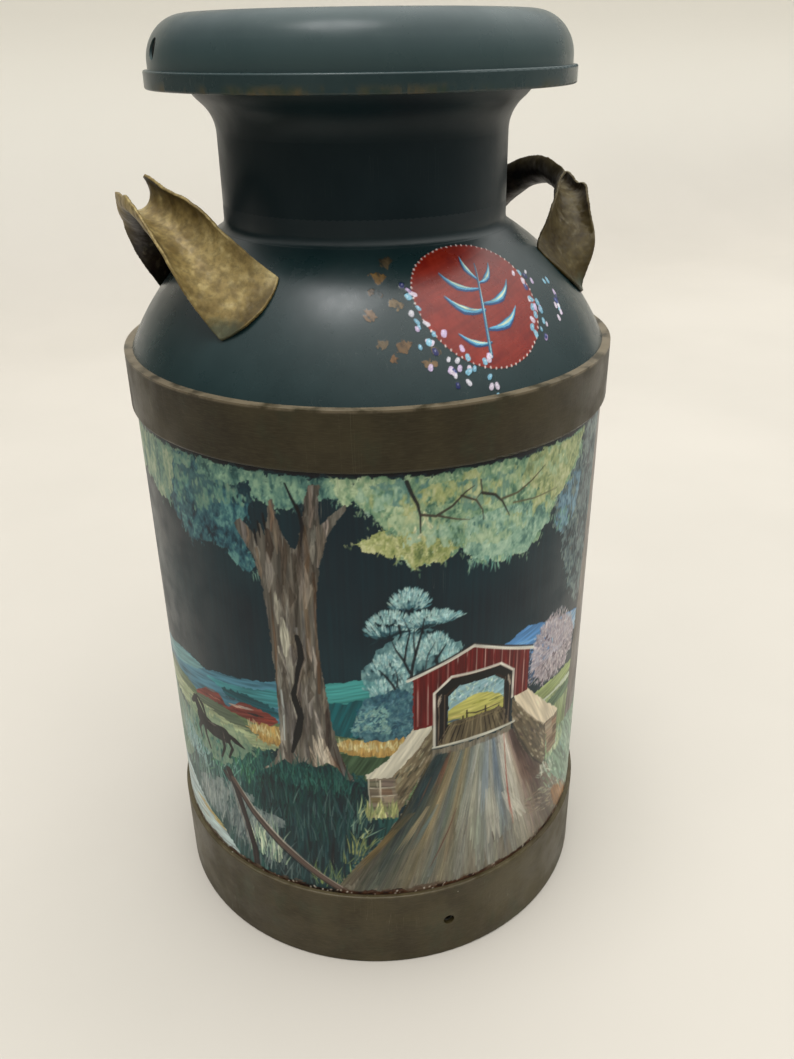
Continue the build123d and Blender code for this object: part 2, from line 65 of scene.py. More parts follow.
def value_noise(x, y, seed=0.0):
    """Smooth noise from 0 to 1 with one cell to a unit."""
    x, y = np.broadcast_arrays(x + 17.31 * seed, y + 9.73 * seed)
    column, row = np.floor(x).astype(int), np.floor(y).astype(int)
    fx, fy = x - column, y - row
    fx, fy = fx * fx * (3 - 2 * fx), fy * fy * (3 - 2 * fy)
    left, right = column & 255, (column + 1) & 255
    below, above = row & 255, (row + 1) & 255
    low = NOISE[below, left] * (1 - fx) + NOISE[below, right] * fx
    high = NOISE[above, left] * (1 - fx) + NOISE[above, right] * fx
    return low * (1 - fy) + high * fy


def linear(colour):
    """A screen colour from 0 to 255 as linear light."""
    c = np.asarray(colour, float) / 255
    return np.where(c <= 0.04045, c / 12.92, ((c + 0.055) / 1.055) ** 2.4)


def pigment(colour):
    """The paint that looks like a screen colour under this light, once the floor's sheen is taken off."""
    return np.clip((linear(colour) - (0.018, 0.017, 0.015)) / 0.86, 0.0025, 0.86)


def inside(outline, x, y):
    """Which points lie within a closed outline."""
    hit = np.zeros(np.broadcast(x, y).shape, bool)
    previous = outline[-1]
    for corner in outline:
        (ax, ay), (bx, by) = (previous, corner)
        if ay != by:
            crosses = (ay > y) != (by > y)
            hit ^= crosses & (x < (bx - ax) * (y - ay) / (by - ay) + ax)
        previous = corner
    return hit


def rounded(outline):
    """A closed outline with its corners eased into curves."""
    p = np.asarray(outline, float)
    t = np.arange(5)[:, None] / 5
    pieces = []
    for i in range(len(p)):
        a, b, c, d = p[i - 1], p[i], p[(i + 1) % len(p)], p[(i + 2) % len(p)]
        pieces.append(0.5 * (2 * b + (c - a) * t + (2 * a - 5 * b + 4 * c - d) * t ** 2
            + (3 * b - a - 3 * c + d) * t ** 3))
    return np.concatenate(pieces)


class Sheet:
    """A flat sheet that takes strokes of paint: a colour and a thickness at each point."""

    def __init__(self, low, high, pitch, ground):
        self.pitch = pitch
        self.x = np.arange(low[0], high[0] + pitch, pitch)
        self.y = np.arange(low[1], high[1] + pitch, pitch)
        self.colour = np.empty((len(self.y), len(self.x), 3))
        self.colour[:] = ground
        self.relief = np.zeros((len(self.y), len(self.x)))
        self.painted = np.zeros((len(self.y), len(self.x)))
        self.mask = None

    def window(self, low, high):
        columns = slice(*np.searchsorted(self.x, (low[0], high[0])))
        rows = slice(*np.searchsorted(self.y, (low[1], high[1])))
        return rows, columns

    def lay(self, rows, columns, cover, colour, tone, lift):
        """Blends one stroke's colour into the sheet; tone lightens or darkens it hair by hair."""
        if self.mask is not None:
            cover = cover * self.mask[rows, columns]
        c = cover[..., None]
        shade = np.clip(np.asarray(colour, float) * tone[..., None], 0, 255)
        self.colour[rows, columns] = self.colour[rows, columns] * (1 - c) + shade * c
        thick = self.relief[rows, columns] * 0.5 + lift * tone
        self.relief[rows, columns] = self.relief[rows, columns] * (1 - cover) + thick * cover
        self.painted[rows, columns] = np.maximum(self.painted[rows, columns], cover)

    def stroke(self, points, width, colour, taper=(0.5, 1, 0.3), opacity=0.95, streak=0.3, lift=0.05,
            dry=0.0):
        """A brush drawn along some points; taper is its width at the start, the middle and the end."""
        points = np.asarray(points, float)
        reach = width / 2 + 2 * self.pitch
        rows, columns = self.window(points.min(0) - reach, points.max(0) + reach)
        x, y = self.x[columns][None, :], self.y[rows][:, None]
        if x.size == 0 or y.size == 0:
            return
        near = np.full((y.size, x.size), 1e9)
        along, side = np.zeros_like(near), np.zeros_like(near)
        spans = len(points) - 1
        for i in range(spans):
            ax, ay = points[i]
            dx, dy = points[i + 1] - points[i]
            length = math.hypot(dx, dy) + 1e-9
            t = np.clip(((x - ax) * dx + (y - ay) * dy) / length ** 2, 0, 1)
            ox, oy = x - ax - t * dx, y - ay - t * dy
            distance = np.hypot(ox, oy)
            closer = distance < near
            near = np.where(closer, distance, near)
            along = np.where(closer, (i + t) / spans, along)
            side = np.where(closer, (dx * oy - dy * ox) / length, side)
        half = 0.5 * width * np.interp(along, (0, 0.5, 1), taper)
        hair = value_noise(side / 0.5 + points[0, 0], along * 4 + points[0, 1], 1)
        cover = np.clip((half - near) / (1.3 * self.pitch) + 0.5, 0, 1) * opacity
        if dry:
            cover = cover * np.clip((hair - dry * (0.35 + 0.65 * along)) * 5 + 0.5, 0, 1)
        self.lay(rows, columns, cover, colour, 1 + streak * (hair - 0.5) * 1.5, lift)

    def patch(self, outline, colour, grain=90.0, streak=0.3, ragged=0.5, opacity=1.0, lift=0.03,
            dry=0.0, long=14.0):
        """A filled outline, brushed along a grain direction in degrees from the horizontal."""
        outline = np.asarray(outline, float)
        rows, columns = self.window(outline.min(0) - 3, outline.max(0) + 3)
        x, y = self.x[columns][None, :], self.y[rows][:, None]
        if x.size == 0 or y.size == 0:
            return
        wx = x + ragged * 3 * (value_noise(x / 2.1, y / 2.1, 2) - 0.5)
        wy = y + ragged * 3 * (value_noise(x / 2.1, y / 2.1, 3) - 0.5)
        u = x * math.cos(math.radians(grain)) + y * math.sin(math.radians(grain))
        v = y * math.cos(math.radians(grain)) - x * math.sin(math.radians(grain))
        hair = 0.6 * value_noise(v / 1.1, u / long, 4) + 0.4 * value_noise(v / 3.7, u / (2 * long), 5)
        cover = inside(outline, wx, wy) * opacity
        if dry:
            cover = cover * np.clip((hair - dry) * 6 + 0.5, 0, 1)
        self.lay(rows, columns, cover, colour, 1 + streak * (hair - 0.5) * 1.7, lift)

    def sponge(self, outline, tones, cell=7.0, ragged=4.0, gaps=0.0, opacity=1.0, lift=0.06, lean=90.0):
        """Paint dabbed on with a torn sponge: tones go from dark to light, gaps leave holes."""
        outline = np.asarray(outline, float)
        rows, columns = self.window(outline.min(0) - 8, outline.max(0) + 8)
        x, y = self.x[columns][None, :], self.y[rows][:, None]
        if x.size == 0 or y.size == 0:
            return
        u = x * math.sin(math.radians(lean)) - y * math.cos(math.radians(lean))
        v = (x * math.cos(math.radians(lean)) + y * math.sin(math.radians(lean))) * 0.55
        seed = outline[0, 0] % 7
        coarse = value_noise(u / cell, v / cell, seed)
        middle = value_noise(u / (0.36 * cell), v / (0.36 * cell), seed + 1)
        fine, grit = value_noise(u / 1.5, v / 1.5, seed + 2), value_noise(u / 0.7, v / 0.7, seed + 3)
        push = 0.45 * middle + 0.35 * fine + 0.2 * grit - 0.5
        wx = x + ragged * (value_noise(x / 5.3, y / 5.3, seed + 4) - 0.5) + ragged * 0.9 * push
        wy = y + ragged * (value_noise(x / 5.3, y / 5.3, seed + 5) - 0.5) + ragged * 1.3 * push
        cover = inside(outline, wx, wy) * opacity
        if gaps:
            cover = cover * np.clip((0.4 * coarse + 0.35 * middle + 0.25 * fine - gaps) * 9 + 0.5, 0, 1)
        t = 0.5 + 0.75 * (coarse - 0.5) + 0.75 * (middle - 0.5) + 0.6 * (fine - 0.5) + 0.35 * (grit - 0.5)
        t = np.clip(t, 0, 1) * (len(tones) - 1)
        table = np.asarray(tones, float)
        step = np.minimum(t.astype(int), len(tones) - 2)
        colour = table[step] + (table[step + 1] - table[step]) * (t - step)[..., None]
        self.lay(rows, columns, cover, colour, np.ones_like(t), lift * (0.6 + 0.8 * fine))

    def clip(self, outline):
        """Keeps later strokes within an outline; None lifts the mask again."""
        self.mask = None
        if outline is not None:
            self.mask = inside(np.asarray(outline, float), self.x[None, :], self.y[:, None])

    def at(self, x, y, layer):
        """A layer's value at points in between its cells."""
        u = np.clip((x - self.x[0]) / self.pitch, 0, len(self.x) - 1.001)
        v = np.clip((y - self.y[0]) / self.pitch, 0, len(self.y) - 1.001)
        column, row = u.astype(int), v.astype(int)
        fx, fy = u - column, v - row
        if layer.ndim == 3:
            fx, fy = fx[..., None], fy[..., None]
        low = layer[row, column] * (1 - fx) + layer[row, column + 1] * fx
        high = layer[row + 1, column] * (1 - fx) + layer[row + 1, column + 1] * fx
        return low * (1 - fy) + high * fy


def varied(colour, amount=0.1):
    """The colour with a small random change, as from an unevenly mixed brush."""
    drift = 22 * amount * rng.normal(size=3)
    return np.clip(np.asarray(colour, float) * (1 + amount * rng.normal(size=1)) + drift, 0, 255)


def blended(a, b, t):
    return np.asarray(a, float) * (1 - t) + np.asarray(b, float) * t


def pick(colours):
    return colours[rng.integers(len(colours))]


def unroll(points):
    """Points in degrees round the wall and millimetres up, as millimetres along the sheet."""
    return np.asarray(points, float) * (PER_DEGREE, 1)


def scatter(outline, count):
    """Random points within an outline."""
    outline = np.asarray(outline, float)
    low, high = outline.min(0), outline.max(0)
    found = np.empty((0, 2))
    while len(found) < count:
        trial = low + rng.random((4 * count, 2)) * (high - low)
        found = np.concatenate([found, trial[inside(outline, trial[:, 0], trial[:, 1])]])
    return found[:count]


# ---- the wall's sheet, and ways to paint on it with outlines in degrees and millimetres ----
SLATE = (36, 50, 54)  # the paint that the whole wall was first given
wall = Sheet((-180 * PER_DEGREE, WALL_LOW - 1), (180 * PER_DEGREE, WALL_HIGH + 1), PITCH * 0.6, SLATE)


def brush(points, width, colour, **how):
    wall.stroke(unroll(points), width, colour, **how)


def area(outline, colour, grain=90.0, streak=0.3, soft=True, **how):
    """A filled outline; when it is soft, its corners are eased into curves."""
    outline = unroll(outline)
    wall.patch(rounded(outline) if soft else outline, colour, grain=grain, streak=streak, **how)


def sponged(outline, tones, soft=False, **how):
    outline = unroll(outline)
    wall.sponge(rounded(outline) if soft else outline, tones, **how)


def tuft(outline, count, length, width, colours, **how):
    """Blades of grass that rise from random feet within an outline."""
    blades(scatter(unroll(outline), count), length, width, colours, **how)


def leaves(outline, count, size, colours, angle, **how):
    """Leaf dabs at random places within an outline."""
    dabs(scatter(unroll(outline), count), size, colours, angle, **how)


def block(deg, z, wide, tall):
    """The corners of an upright rectangle round its middle."""
    return [(deg + a * wide / 2, z + b * tall / 2) for a, b in ((-1, -1), (1, -1), (1, 1), (-1, 1))]


def dabs(points, size, colours, angle, spread=40, opacity=0.9, slim=0.5, lift=0.08):
    """Short pushed dabs, such as leaves, each with its own size, lean and colour."""
    for x, y in points:
        lean = math.radians(angle + spread * rng.normal())
        length = size * (0.6 + 0.8 * rng.random())
        step = np.array((math.cos(lean), math.sin(lean))) * length
        wall.stroke([(x, y), (x + step[0], y + step[1])], length * slim, varied(pick(colours), 0.07),
            taper=(1, 0.9, 0.35), opacity=opacity, streak=0.25, lift=lift)


def blades(points, length, width, colours, lean=90, spread=10, opacity=0.85):
    """Grass: thin strokes that rise from a foot and bend over."""
    for x, y in points:
        angle = math.radians(lean + spread * rng.normal())
        tall = length * (0.5 + rng.random())
        bend = 0.15 * tall * rng.normal()
        up = np.array((math.cos(angle), math.sin(angle)))
        across = np.array((up[1], -up[0]))
        path = [np.array((x, y)) + up * tall * t + across * bend * t * t for t in (0, 0.35, 0.7, 1)]
        wall.stroke(path, width, varied(pick(colours), 0.08), taper=(0.8, 1, 0.1), opacity=opacity,
            streak=0.2)


def foliage(outline, tones, count, size=2.2, gaps=0):
    """A leafy mass sponged from dark to light tones, with small leaf dabs over it and past its edge."""
    outline = unroll(outline)
    wall.sponge(outline, tones, cell=8, ragged=5, gaps=gaps)
    feet = outline[rng.integers(len(outline), size=count // 6)] + rng.normal(size=(count // 6, 2)) * 2
    dabs(feet, size * 0.9, tones[1:-1], -85, spread=22, slim=0.36, opacity=0.7)
    dabs(scatter(outline, count // 2), size, tones[1:], 75, spread=45, opacity=0.4, slim=0.4)
    dabs(scatter(outline, count // 8), size * 0.8, tones[:1], 60, spread=60, opacity=0.45, slim=0.4)
    dabs(scatter(outline, count // 6), size * 0.9, tones[-1:], 75, spread=45, opacity=0.55, slim=0.4,
        lift=0.12)


def twig(points, width, colour):
    brush(points, width, colour, taper=(1, 0.8, 0.25), opacity=0.9, lift=0.04)


def fan(base, spread, height, colours, count):
    """A clump of pale leaves brushed outwards from its base, like an open fan."""
    bx, by = unroll([base])[0]
    for _ in range(count):
        t = rng.uniform(-1, 1)
        far = 0.35 + 0.65 * math.sqrt(rng.random())
        reach = math.sqrt(max(0, 1 - t * t * 0.92))
        tip = np.array((bx + t * spread * far, by + height * reach * far))
        out = tip - (bx, by - 0.5 * height)
        out /= np.linalg.norm(out)
        foot = tip - out * rng.uniform(2, 4.5)
        wall.stroke([foot, tip], rng.uniform(0.7, 1.3), varied(pick(colours), 0.06),
            taper=(0.9, 1, 0.3), opacity=0.5 + 0.45 * far, streak=0.2, lift=0.12)


def paint_hills():
    pale, blue, teal, deep = (104, 146, 148), (72, 116, 132), (70, 142, 138), (28, 84, 88)
    far = [(-97, 226), (-90, 233), (-84, 238), (-77, 241), (-71, 238), (-66, 242), (-58, 246),
        (-51, 250), (-44, 251), (-44, 205), (-97, 200)]
    area(far, blue, 10, 0.35)
    area([(-96, 224), (-90, 233), (-84, 238), (-77, 240), (-71, 238), (-76, 231), (-84, 224),
        (-92, 220)], pale, 15, 0.3)
    area([(-70, 233), (-64, 236), (-56, 240), (-47, 245), (-47, 232), (-60, 229)], (66, 128, 132), 8,
        0.35)
    area([(-64, 230), (-58, 234), (-50, 231), (-47, 222), (-56, 226), (-62, 226)], (34, 78, 84), 0, 0.4,
        ragged=1)
    area([(-36, 256), (-31, 260), (-26, 262), (-20, 256), (-20, 236), (-36, 238)], teal, 12, 0.3)
    area([(-36, 240), (-31, 243), (-27, 246), (-25, 230), (-29, 214), (-36, 216)], deep, 70, 0.35)
    area([(5, 266), (9, 272), (14, 277), (19, 274), (24, 269), (31, 264), (40, 255), (40, 240),
        (5, 240)], (88, 138, 188), 12, 0.3)
    area([(26, 262), (32, 262), (40, 254), (40, 240), (26, 244)], (150, 172, 188), 15, 0.25, dry=0.25)
    brush([(7, 266), (12, 266), (20, 262)], 2.2, (120, 168, 206), opacity=0.6)


def paint_fields():
    area([(-97, 208), (-84, 214), (-74, 212), (-62, 214), (-47, 218), (-28, 214), (-20, 216),
        (-20, 150), (-97, 150)], (92, 108, 78), 6, 0.35)
    area([(-76, 212), (-70, 222), (-66, 223), (-63, 216), (-58, 226), (-52, 225), (-48, 220),
        (-52, 212), (-62, 213), (-74, 208)], (112, 58, 50), 15, 0.45)
    for deg, z, tint in (
        (-69, 222, (92, 96, 96)), (-61, 225, (52, 70, 78)), (-57, 222, (168, 160, 150)),
        (-54, 219, (40, 40, 40)), (-60, 220, (178, 150, 132)), (-51, 218, (132, 60, 50)),
        (-68, 217, (150, 92, 76)), (-59, 217, (92, 40, 36))
    ):
        brush([(deg - 2.4, z - 0.6), (deg + 2.4, z + 0.8)], 2.2, tint, taper=(0.3, 1, 0.2), dry=0.3)
    area([(-76, 209), (-66, 214), (-57, 208), (-55, 200), (-74, 200)], (84, 96, 76), 8, 0.35)
    area([(-97, 203), (-84, 205), (-72, 204), (-60, 202), (-48, 199), (-48, 186), (-97, 180)],
        (150, 160, 124), 9, 0.35)
    for _ in range(60):
        deg, z = rng.uniform(-96, -50), rng.uniform(182, 203)
        brush([(deg, z), (deg + 3.5, z + 2.2)], 1.4, varied(pick([(176, 182, 140), (124, 142, 104)])),
            opacity=0.6)
    for left, right in ((-57.5, -46), (-34.5, -17.5)):
        ochre = unroll([(left, 206), (left + 3, 212), (right, 216), (right, 198), (left + 5, 199)])
        wall.patch(ochre, (170, 140, 84), grain=88, streak=0.3, ragged=1.2)
        foot = [(x, 205 + rng.uniform(-2, 3)) for x in np.arange(left + 1, right, 0.28) * PER_DEGREE]
        blades(foot, 6, 0.9, [(196, 188, 142), (206, 196, 150), (180, 162, 108)], spread=8)
        foot = [(x, 198 + rng.uniform(-2, 2)) for x in np.arange(left + 3, right, 0.33) * PER_DEGREE]
        blades(foot, 4, 1, [(158, 120, 66), (176, 142, 84), (140, 116, 70)], spread=8)
    area([(-34, 199), (-24, 198), (-17, 200), (-17, 176), (-34, 172)], (66, 84, 62), 60, 0.4)
    area([(16, 214), (27, 216), (38, 214), (44, 210), (44, 198), (18, 200)], (136, 148, 96), 5, 0.35)
    area([(20, 203), (30, 204), (40, 203), (40, 198), (21, 199)], (176, 184, 160), 0, 0.3)
    area([(22, 199), (36, 199), (44, 196), (44, 150), (24, 160)], (120, 132, 92), 80, 0.4)
    area([(24, 198), (36, 198), (38, 190), (26, 189)], (84, 104, 78), 10, 0.4)


def paint_meadow():
    """Rough grass on the left, deep teal under the big tree, with a pale bank and water low down."""
    area([(-110, 184), (-90, 188), (-74, 184), (-60, 186), (-48, 192), (-32, 184), (-26, 176),
        (-20, 150), (-20, 62), (-110, 62)], (44, 76, 72), 80, 0.4, ragged=2)
    area([(-52, 188), (-40, 192), (-31, 180), (-25, 160), (-24, 130), (-30, 100), (-38, 62), (-54, 62),
        (-56, 130)], (31, 52, 53), 85, 0.35, ragged=3)
    area([(-110, 176), (-90, 184), (-82, 172), (-84, 140), (-92, 120), (-110, 110)], (128, 142, 116),
        75, 0.35, opacity=0.8)
    light = [(92, 132, 122), (112, 150, 138), (70, 110, 100), (84, 122, 98), (140, 168, 154)]
    deep = [(30, 58, 57), (38, 68, 64), (27, 46, 49), (46, 80, 70), (36, 62, 54)]
    tuft([(-108, 120), (-108, 176), (-60, 172), (-62, 140), (-76, 118)], 260, 15, 1.1, light, lean=80,
        spread=16)
    tuft([(-90, 140), (-88, 166), (-74, 160), (-76, 138)], 120, 16, 1.1,
        [(134, 168, 168), (108, 146, 148), (156, 182, 176)], lean=86, spread=22, opacity=0.8)
    tuft([(-84, 150), (-84, 176), (-54, 184), (-54, 150)], 160, 12, 1.2, [(70, 126, 108), (46, 96, 84),
        (96, 150, 120), (58, 110, 70)], spread=14)
    tuft([(-62, 140), (-60, 176), (-26, 170), (-24, 120), (-56, 110)], 420, 18, 0.9, deep, spread=8,
        opacity=0.6)
    tuft([(-62, 168), (-60, 178), (-31, 176), (-33, 160)], 120, 15, 0.9,
        [(66, 108, 94), (46, 86, 78), (36, 72, 66)], spread=9, opacity=0.65)
    tuft([(-54, 66), (-54, 150), (-30, 150), (-27, 66)], 260, 18, 0.9, [(54, 76, 76), (78, 98, 96),
        (36, 54, 58), (100, 118, 112), (50, 76, 72)], spread=7, opacity=0.55)
    bank = unroll([(-82, 118), (-78, 130), (-72, 137), (-66, 144), (-59, 139), (-54, 130), (-49, 131),
        (-50, 112), (-52, 98), (-62, 92), (-72, 98), (-80, 104)])
    wall.sponge(rounded(bank), [(84, 96, 94), (120, 130, 128), (150, 158, 152)], cell=9, ragged=9,
        gaps=0.36, opacity=0.8)
    blades(scatter(bank, 210) - (0, 6), 15, 1.1, [(176, 182, 172), (122, 134, 132), (154, 162, 156),
        (96, 110, 108)], lean=84, spread=6, opacity=0.5)
    tuft([(-72, 70), (-66, 108), (-50, 104), (-46, 66)], 170, 22, 1.2, [(70, 84, 84), (104, 116, 114),
        (52, 66, 68), (134, 142, 138)], lean=82, spread=6, opacity=0.5)
    water = unroll([(-110, 118), (-94, 116), (-84, 106), (-76, 92), (-69, 84), (-66, 62), (-110, 62)])
    wall.patch(rounded(water), (168, 184, 182), grain=4, streak=0.3, ragged=1)
    for _ in range(70):
        deg, z = rng.uniform(-108, -70), rng.uniform(66, 112)
        if z < 110 - 1.6 * max(0, deg + 92):
            brush([(deg - 3, z), (deg + 3, z + rng.uniform(-1, 1))], 2, varied(pick([(196, 204, 198),
                (150, 172, 178), (180, 184, 160), (206, 206, 190)])), opacity=0.6, taper=(0.2, 1, 0.1))
    for deg, z, wide in ((-81, 93, 5), (-76, 90.5, 5.5), (-73, 87.5, 3)):
        brush([(deg - wide, z), (deg, z + 1), (deg + wide, z - 1)], 4, (178, 156, 92),
            taper=(0.2, 1, 0.2), dry=0.3)
    tall = [(168, 186, 156), (138, 160, 140), (196, 204, 176), (110, 136, 118)]
    tuft([(-60, 84), (-60, 104), (-50, 102), (-49, 84)], 46, 22, 1.1, tall, spread=7)
    tuft([(-42, 72), (-42, 84), (-31, 84), (-33, 74)], 40, 14, 0.9,
        [(150, 158, 92), (112, 128, 80), (84, 104, 84)], spread=12)
    tuft([(-34, 98), (-30, 118), (-25, 122), (-29, 100)], 40, 12, 1,
        [(148, 150, 92), (104, 118, 84), (60, 84, 78)], lean=75, spread=14)
    tuft([(-31, 124), (-31, 150), (-26, 150), (-25, 124)], 30, 12, 1,
        [(168, 176, 130), (110, 134, 116), (70, 96, 92)], lean=80, spread=16)


def paint_horse():
    """A small dark horse at a trot, no more than a few strokes."""
    coat, shine = (18, 14, 14), (160, 152, 140)
    sponged([(-84, 172), (-76, 160), (-69, 157), (-62, 172), (-55, 186), (-60, 198), (-80, 204)],
        [(92, 116, 100), (120, 140, 116), (140, 156, 128)], cell=6, ragged=7, gaps=0.35, opacity=0.75)

    def part(points, width, taper):
        brush(points, width, coat, taper=taper, opacity=1, streak=0.3)

    part([(-75.2, 188), (-70.4, 185), (-65.6, 187)], 14, (0.9, 0.85, 0.95))
    part([(-74.6, 189), (-76.2, 196), (-77.6, 202)], 10, (1, 0.8, 0.6))
    part([(-77.2, 202.5), (-79.6, 196)], 5.4, (1, 0.9, 0.55))
    part([(-76.6, 206), (-74, 201), (-73, 193)], 4, (0.4, 1, 0.5))
    for points in ([(-75.4, 184), (-77, 177), (-76.4, 168)], [(-74, 184), (-73.8, 175), (-72.4, 164)],
            [(-66.4, 184), (-66, 175), (-67.6, 164)], [(-64.8, 186), (-63, 178), (-64.6, 168)]):
        part(points, 4.2, (1, 0.62, 0.4))
    part([(-65, 190), (-61.6, 187), (-58.6, 184)], 5, (0.5, 1, 0.15))
    brush([(-72, 189.5), (-68, 190.5)], 2, shine, opacity=0.45, dry=0.35)
    brush([(-66, 189), (-65.4, 178)], 1.4, shine, opacity=0.45, dry=0.35)


TRUNK = [(-54.5, 170), (-51.5, 178), (-49, 188), (-47.6, 202), (-47.4, 225), (-47.4, 260), (-47.9, 285),
    (-48.2, 310), (-49, 330), (-50.4, 346), (-53, 357), (-54.8, 366), (-53.2, 371), (-51, 366),
    (-49.2, 359), (-48.2, 371), (-47.2, 362), (-46.2, 374), (-45.6, 386), (-44.6, 388), (-44.2, 376),
    (-43, 364), (-41.4, 357), (-40, 355), (-38.7, 371), (-37.6, 388), (-36.6, 399), (-34.2, 400),
    (-34.8, 386), (-34.6, 373), (-31.6, 382), (-29.2, 388), (-28.8, 385), (-31.6, 374), (-33.6, 362),
    (-35.2, 345), (-36.2, 325), (-36.6, 300), (-36.2, 272), (-35, 242), (-34.2, 222), (-33.2, 206),
    (-31.6, 190), (-29.6, 177), (-31.5, 178), (-33.5, 188), (-36, 192), (-39, 186), (-42, 190),
    (-44.5, 184), (-47, 188), (-49.5, 180)]


def marks(rows, aside, **how):
    """Long upright strokes; aside is how far the start, the middle and the end stand off, in degrees."""
    for deg, low, high, wide, tint in rows:
        path = [(deg + aside[0], low), (deg + aside[1], (low + high) / 2), (deg + aside[2], high)]
        brush(path, wide, tint, **how)


def paint_trunk():
    area(TRUNK, (96, 91, 82), 90, 0.45, soft=False, long=24)
    wall.clip(unroll(TRUNK))
    bark = [(126, 121, 112), (96, 91, 84), (156, 150, 138), (72, 66, 59), (114, 112, 108), (98, 88, 76),
        (88, 84, 80)]
    for _ in range(210):
        deg, z = rng.uniform(-54, -29), rng.uniform(176, 398)
        rise = 1 if z > 330 else -1
        lean = (deg + 41.6) * (0.1 if z > 330 else 0.12 if z < 215 else 0)
        run = rng.uniform(12, 34)
        light = 1.08 if deg < -42 else 0.92
        brush([(deg, z), (deg + lean * 0.5 + rng.uniform(-0.3, 0.3), z + run / 2 * rise),
            (deg + lean, z + run * rise)], rng.uniform(1.8, 5), varied(np.array(pick(bark)) * light,
            0.05), opacity=0.7, streak=0.35, taper=(0.2, 1, 0.2), dry=0.15)
    marks(((-36.6, 250, 340, 4, (76, 58, 44)), (-38, 330, 372, 3.6, (96, 76, 58)),
        (-35.6, 196, 250, 3.4, (58, 48, 42)), (-47, 240, 330, 2.2, (92, 74, 58)),
        (-49.4, 320, 352, 3.4, (112, 98, 82)), (-38.9, 262, 330, 3.6, (98, 84, 68)),
        (-41, 300, 352, 3.6, (68, 62, 54)), (-43.2, 330, 372, 5, (70, 60, 50)),
        (-46.4, 344, 366, 6, (62, 52, 44)), (-51.4, 352, 368, 3, (112, 96, 80)),
        (-45.2, 366, 386, 2.4, (120, 98, 80)), (-33.6, 362, 386, 3.6, (140, 128, 120)),
        (-36.4, 372, 398, 3.4, (116, 104, 94)), (-35.2, 345, 372, 3, (132, 120, 110)),
        (-38.2, 374, 392, 2.6, (52, 46, 42))), (-0.3, 0.3, 0), taper=(0.5, 1, 0.5), opacity=0.8,
        streak=0.5, dry=0.2)
    marks(((-44.4, 276, 304, 8, (190, 186, 166)), (-45.6, 300, 322, 5, (150, 146, 130)),
        (-43.2, 300, 326, 4, (134, 130, 120)), (-45.8, 262, 282, 3.6, (158, 152, 138)),
        (-44.6, 250, 270, 4, (128, 122, 112)), (-46.4, 205, 262, 2, (164, 170, 166)),
        (-39.8, 222, 268, 5.6, (132, 126, 118)), (-41, 232, 262, 3, (112, 106, 98)),
        (-37.6, 262, 286, 2.2, (168, 158, 146)), (-38.6, 270, 292, 2.6, (140, 128, 116)),
        (-45.4, 212, 246, 3.6, (88, 84, 80)), (-43.9, 208, 240, 3, (56, 52, 50))), (0, 0.3, -0.2),
        taper=(0.3, 1, 0.3), opacity=0.85, streak=0.4, lift=0.12)
    marks(((-38.6, 190, 214, 4.6, (176, 164, 146)), (-37.2, 192, 220, 4.8, (206, 194, 174)),
        (-36, 190, 212, 3.8, (196, 182, 160)), (-39.6, 188, 204, 3.2, (142, 130, 114)),
        (-35, 186, 202, 3, (160, 142, 124)), (-37.8, 214, 236, 3, (146, 138, 128)),
        (-43.6, 186, 200, 3, (112, 102, 92)), (-46.6, 184, 204, 2.6, (84, 76, 68)),
        (-34, 184, 198, 2.2, (96, 76, 62))), (0.9, 0.2, -0.5), taper=(0.9, 1, 0.15), opacity=0.85,
        streak=0.5, dry=0.25, lift=0.14)
    for deg in (-33.6, -32.2, -31):
        brush([(deg + 1.6, 178), (deg + 0.2, 192), (deg - 0.8, 208)], 1.4,
            pick([(150, 140, 126), (60, 48, 42)]), opacity=0.8)
    lit = [(150, 146, 134), (126, 122, 112), (66, 60, 52), (98, 94, 86)]
    dim = [(98, 90, 78), (58, 50, 43), (122, 114, 102), (76, 68, 60)]
    for _ in range(46):
        deg, z = rng.uniform(-48, -34), rng.uniform(200, 360)
        run, wide = rng.uniform(14, 34), rng.uniform(3.4, 7)
        tint = pick(lit if deg < -43.5 else dim)
        brush([(deg - 0.4, z), (deg + 0.3, z + run * 0.5), (deg - 0.1, z + run)], wide,
            varied(tint, 0.04), taper=(0.15, 1, 0.1), opacity=0.55, streak=0.45, dry=0.12)
    crack = [(-41.4, 292), (-40.8, 285), (-40.5, 276), (-41.6, 266), (-42.3, 256), (-43.1, 246),
        (-42.3, 236), (-41.8, 228), (-42.6, 216), (-43.4, 208), (-44.6, 196)]
    for piece, wide, taper in (
        (crack[:5], 5.2, (0.6, 1, 0.45)), (crack[4:8], 5.8, (0.3, 1, 0.8)),
        (crack[7:], 5.4, (0.8, 1, 0.35))
    ):
        brush(piece, wide, (20, 19, 19), taper=taper, opacity=1, streak=0.2)
    brush([(deg + 0.75, z) for deg, z in crack[1:7]], 1.3, (132, 120, 108), opacity=0.7)
    wall.clip(None)
    tuft([(-55, 164), (-55, 176), (-47, 180), (-36, 182), (-30, 172), (-30, 164)], 130, 13, 1,
        [(34, 66, 62), (46, 86, 78), (30, 56, 55), (62, 104, 92)], spread=11, opacity=0.8)
    brush([(-41.6, 399), (-40.4, 390), (-38.8, 380), (-38.6, 370)], 2.2, (30, 32, 34), opacity=0.9)
    brush([(-39.2, 386), (-38.4, 372), (-39, 358)], 2.4, (34, 32, 32), opacity=0.8)
    for deg, z in ((-48.6, 366), (-47.2, 372), (-49.6, 360)):
        brush([(deg, z + 5), (deg + 0.4, z - 6)], 2, (28, 28, 28), opacity=0.85)


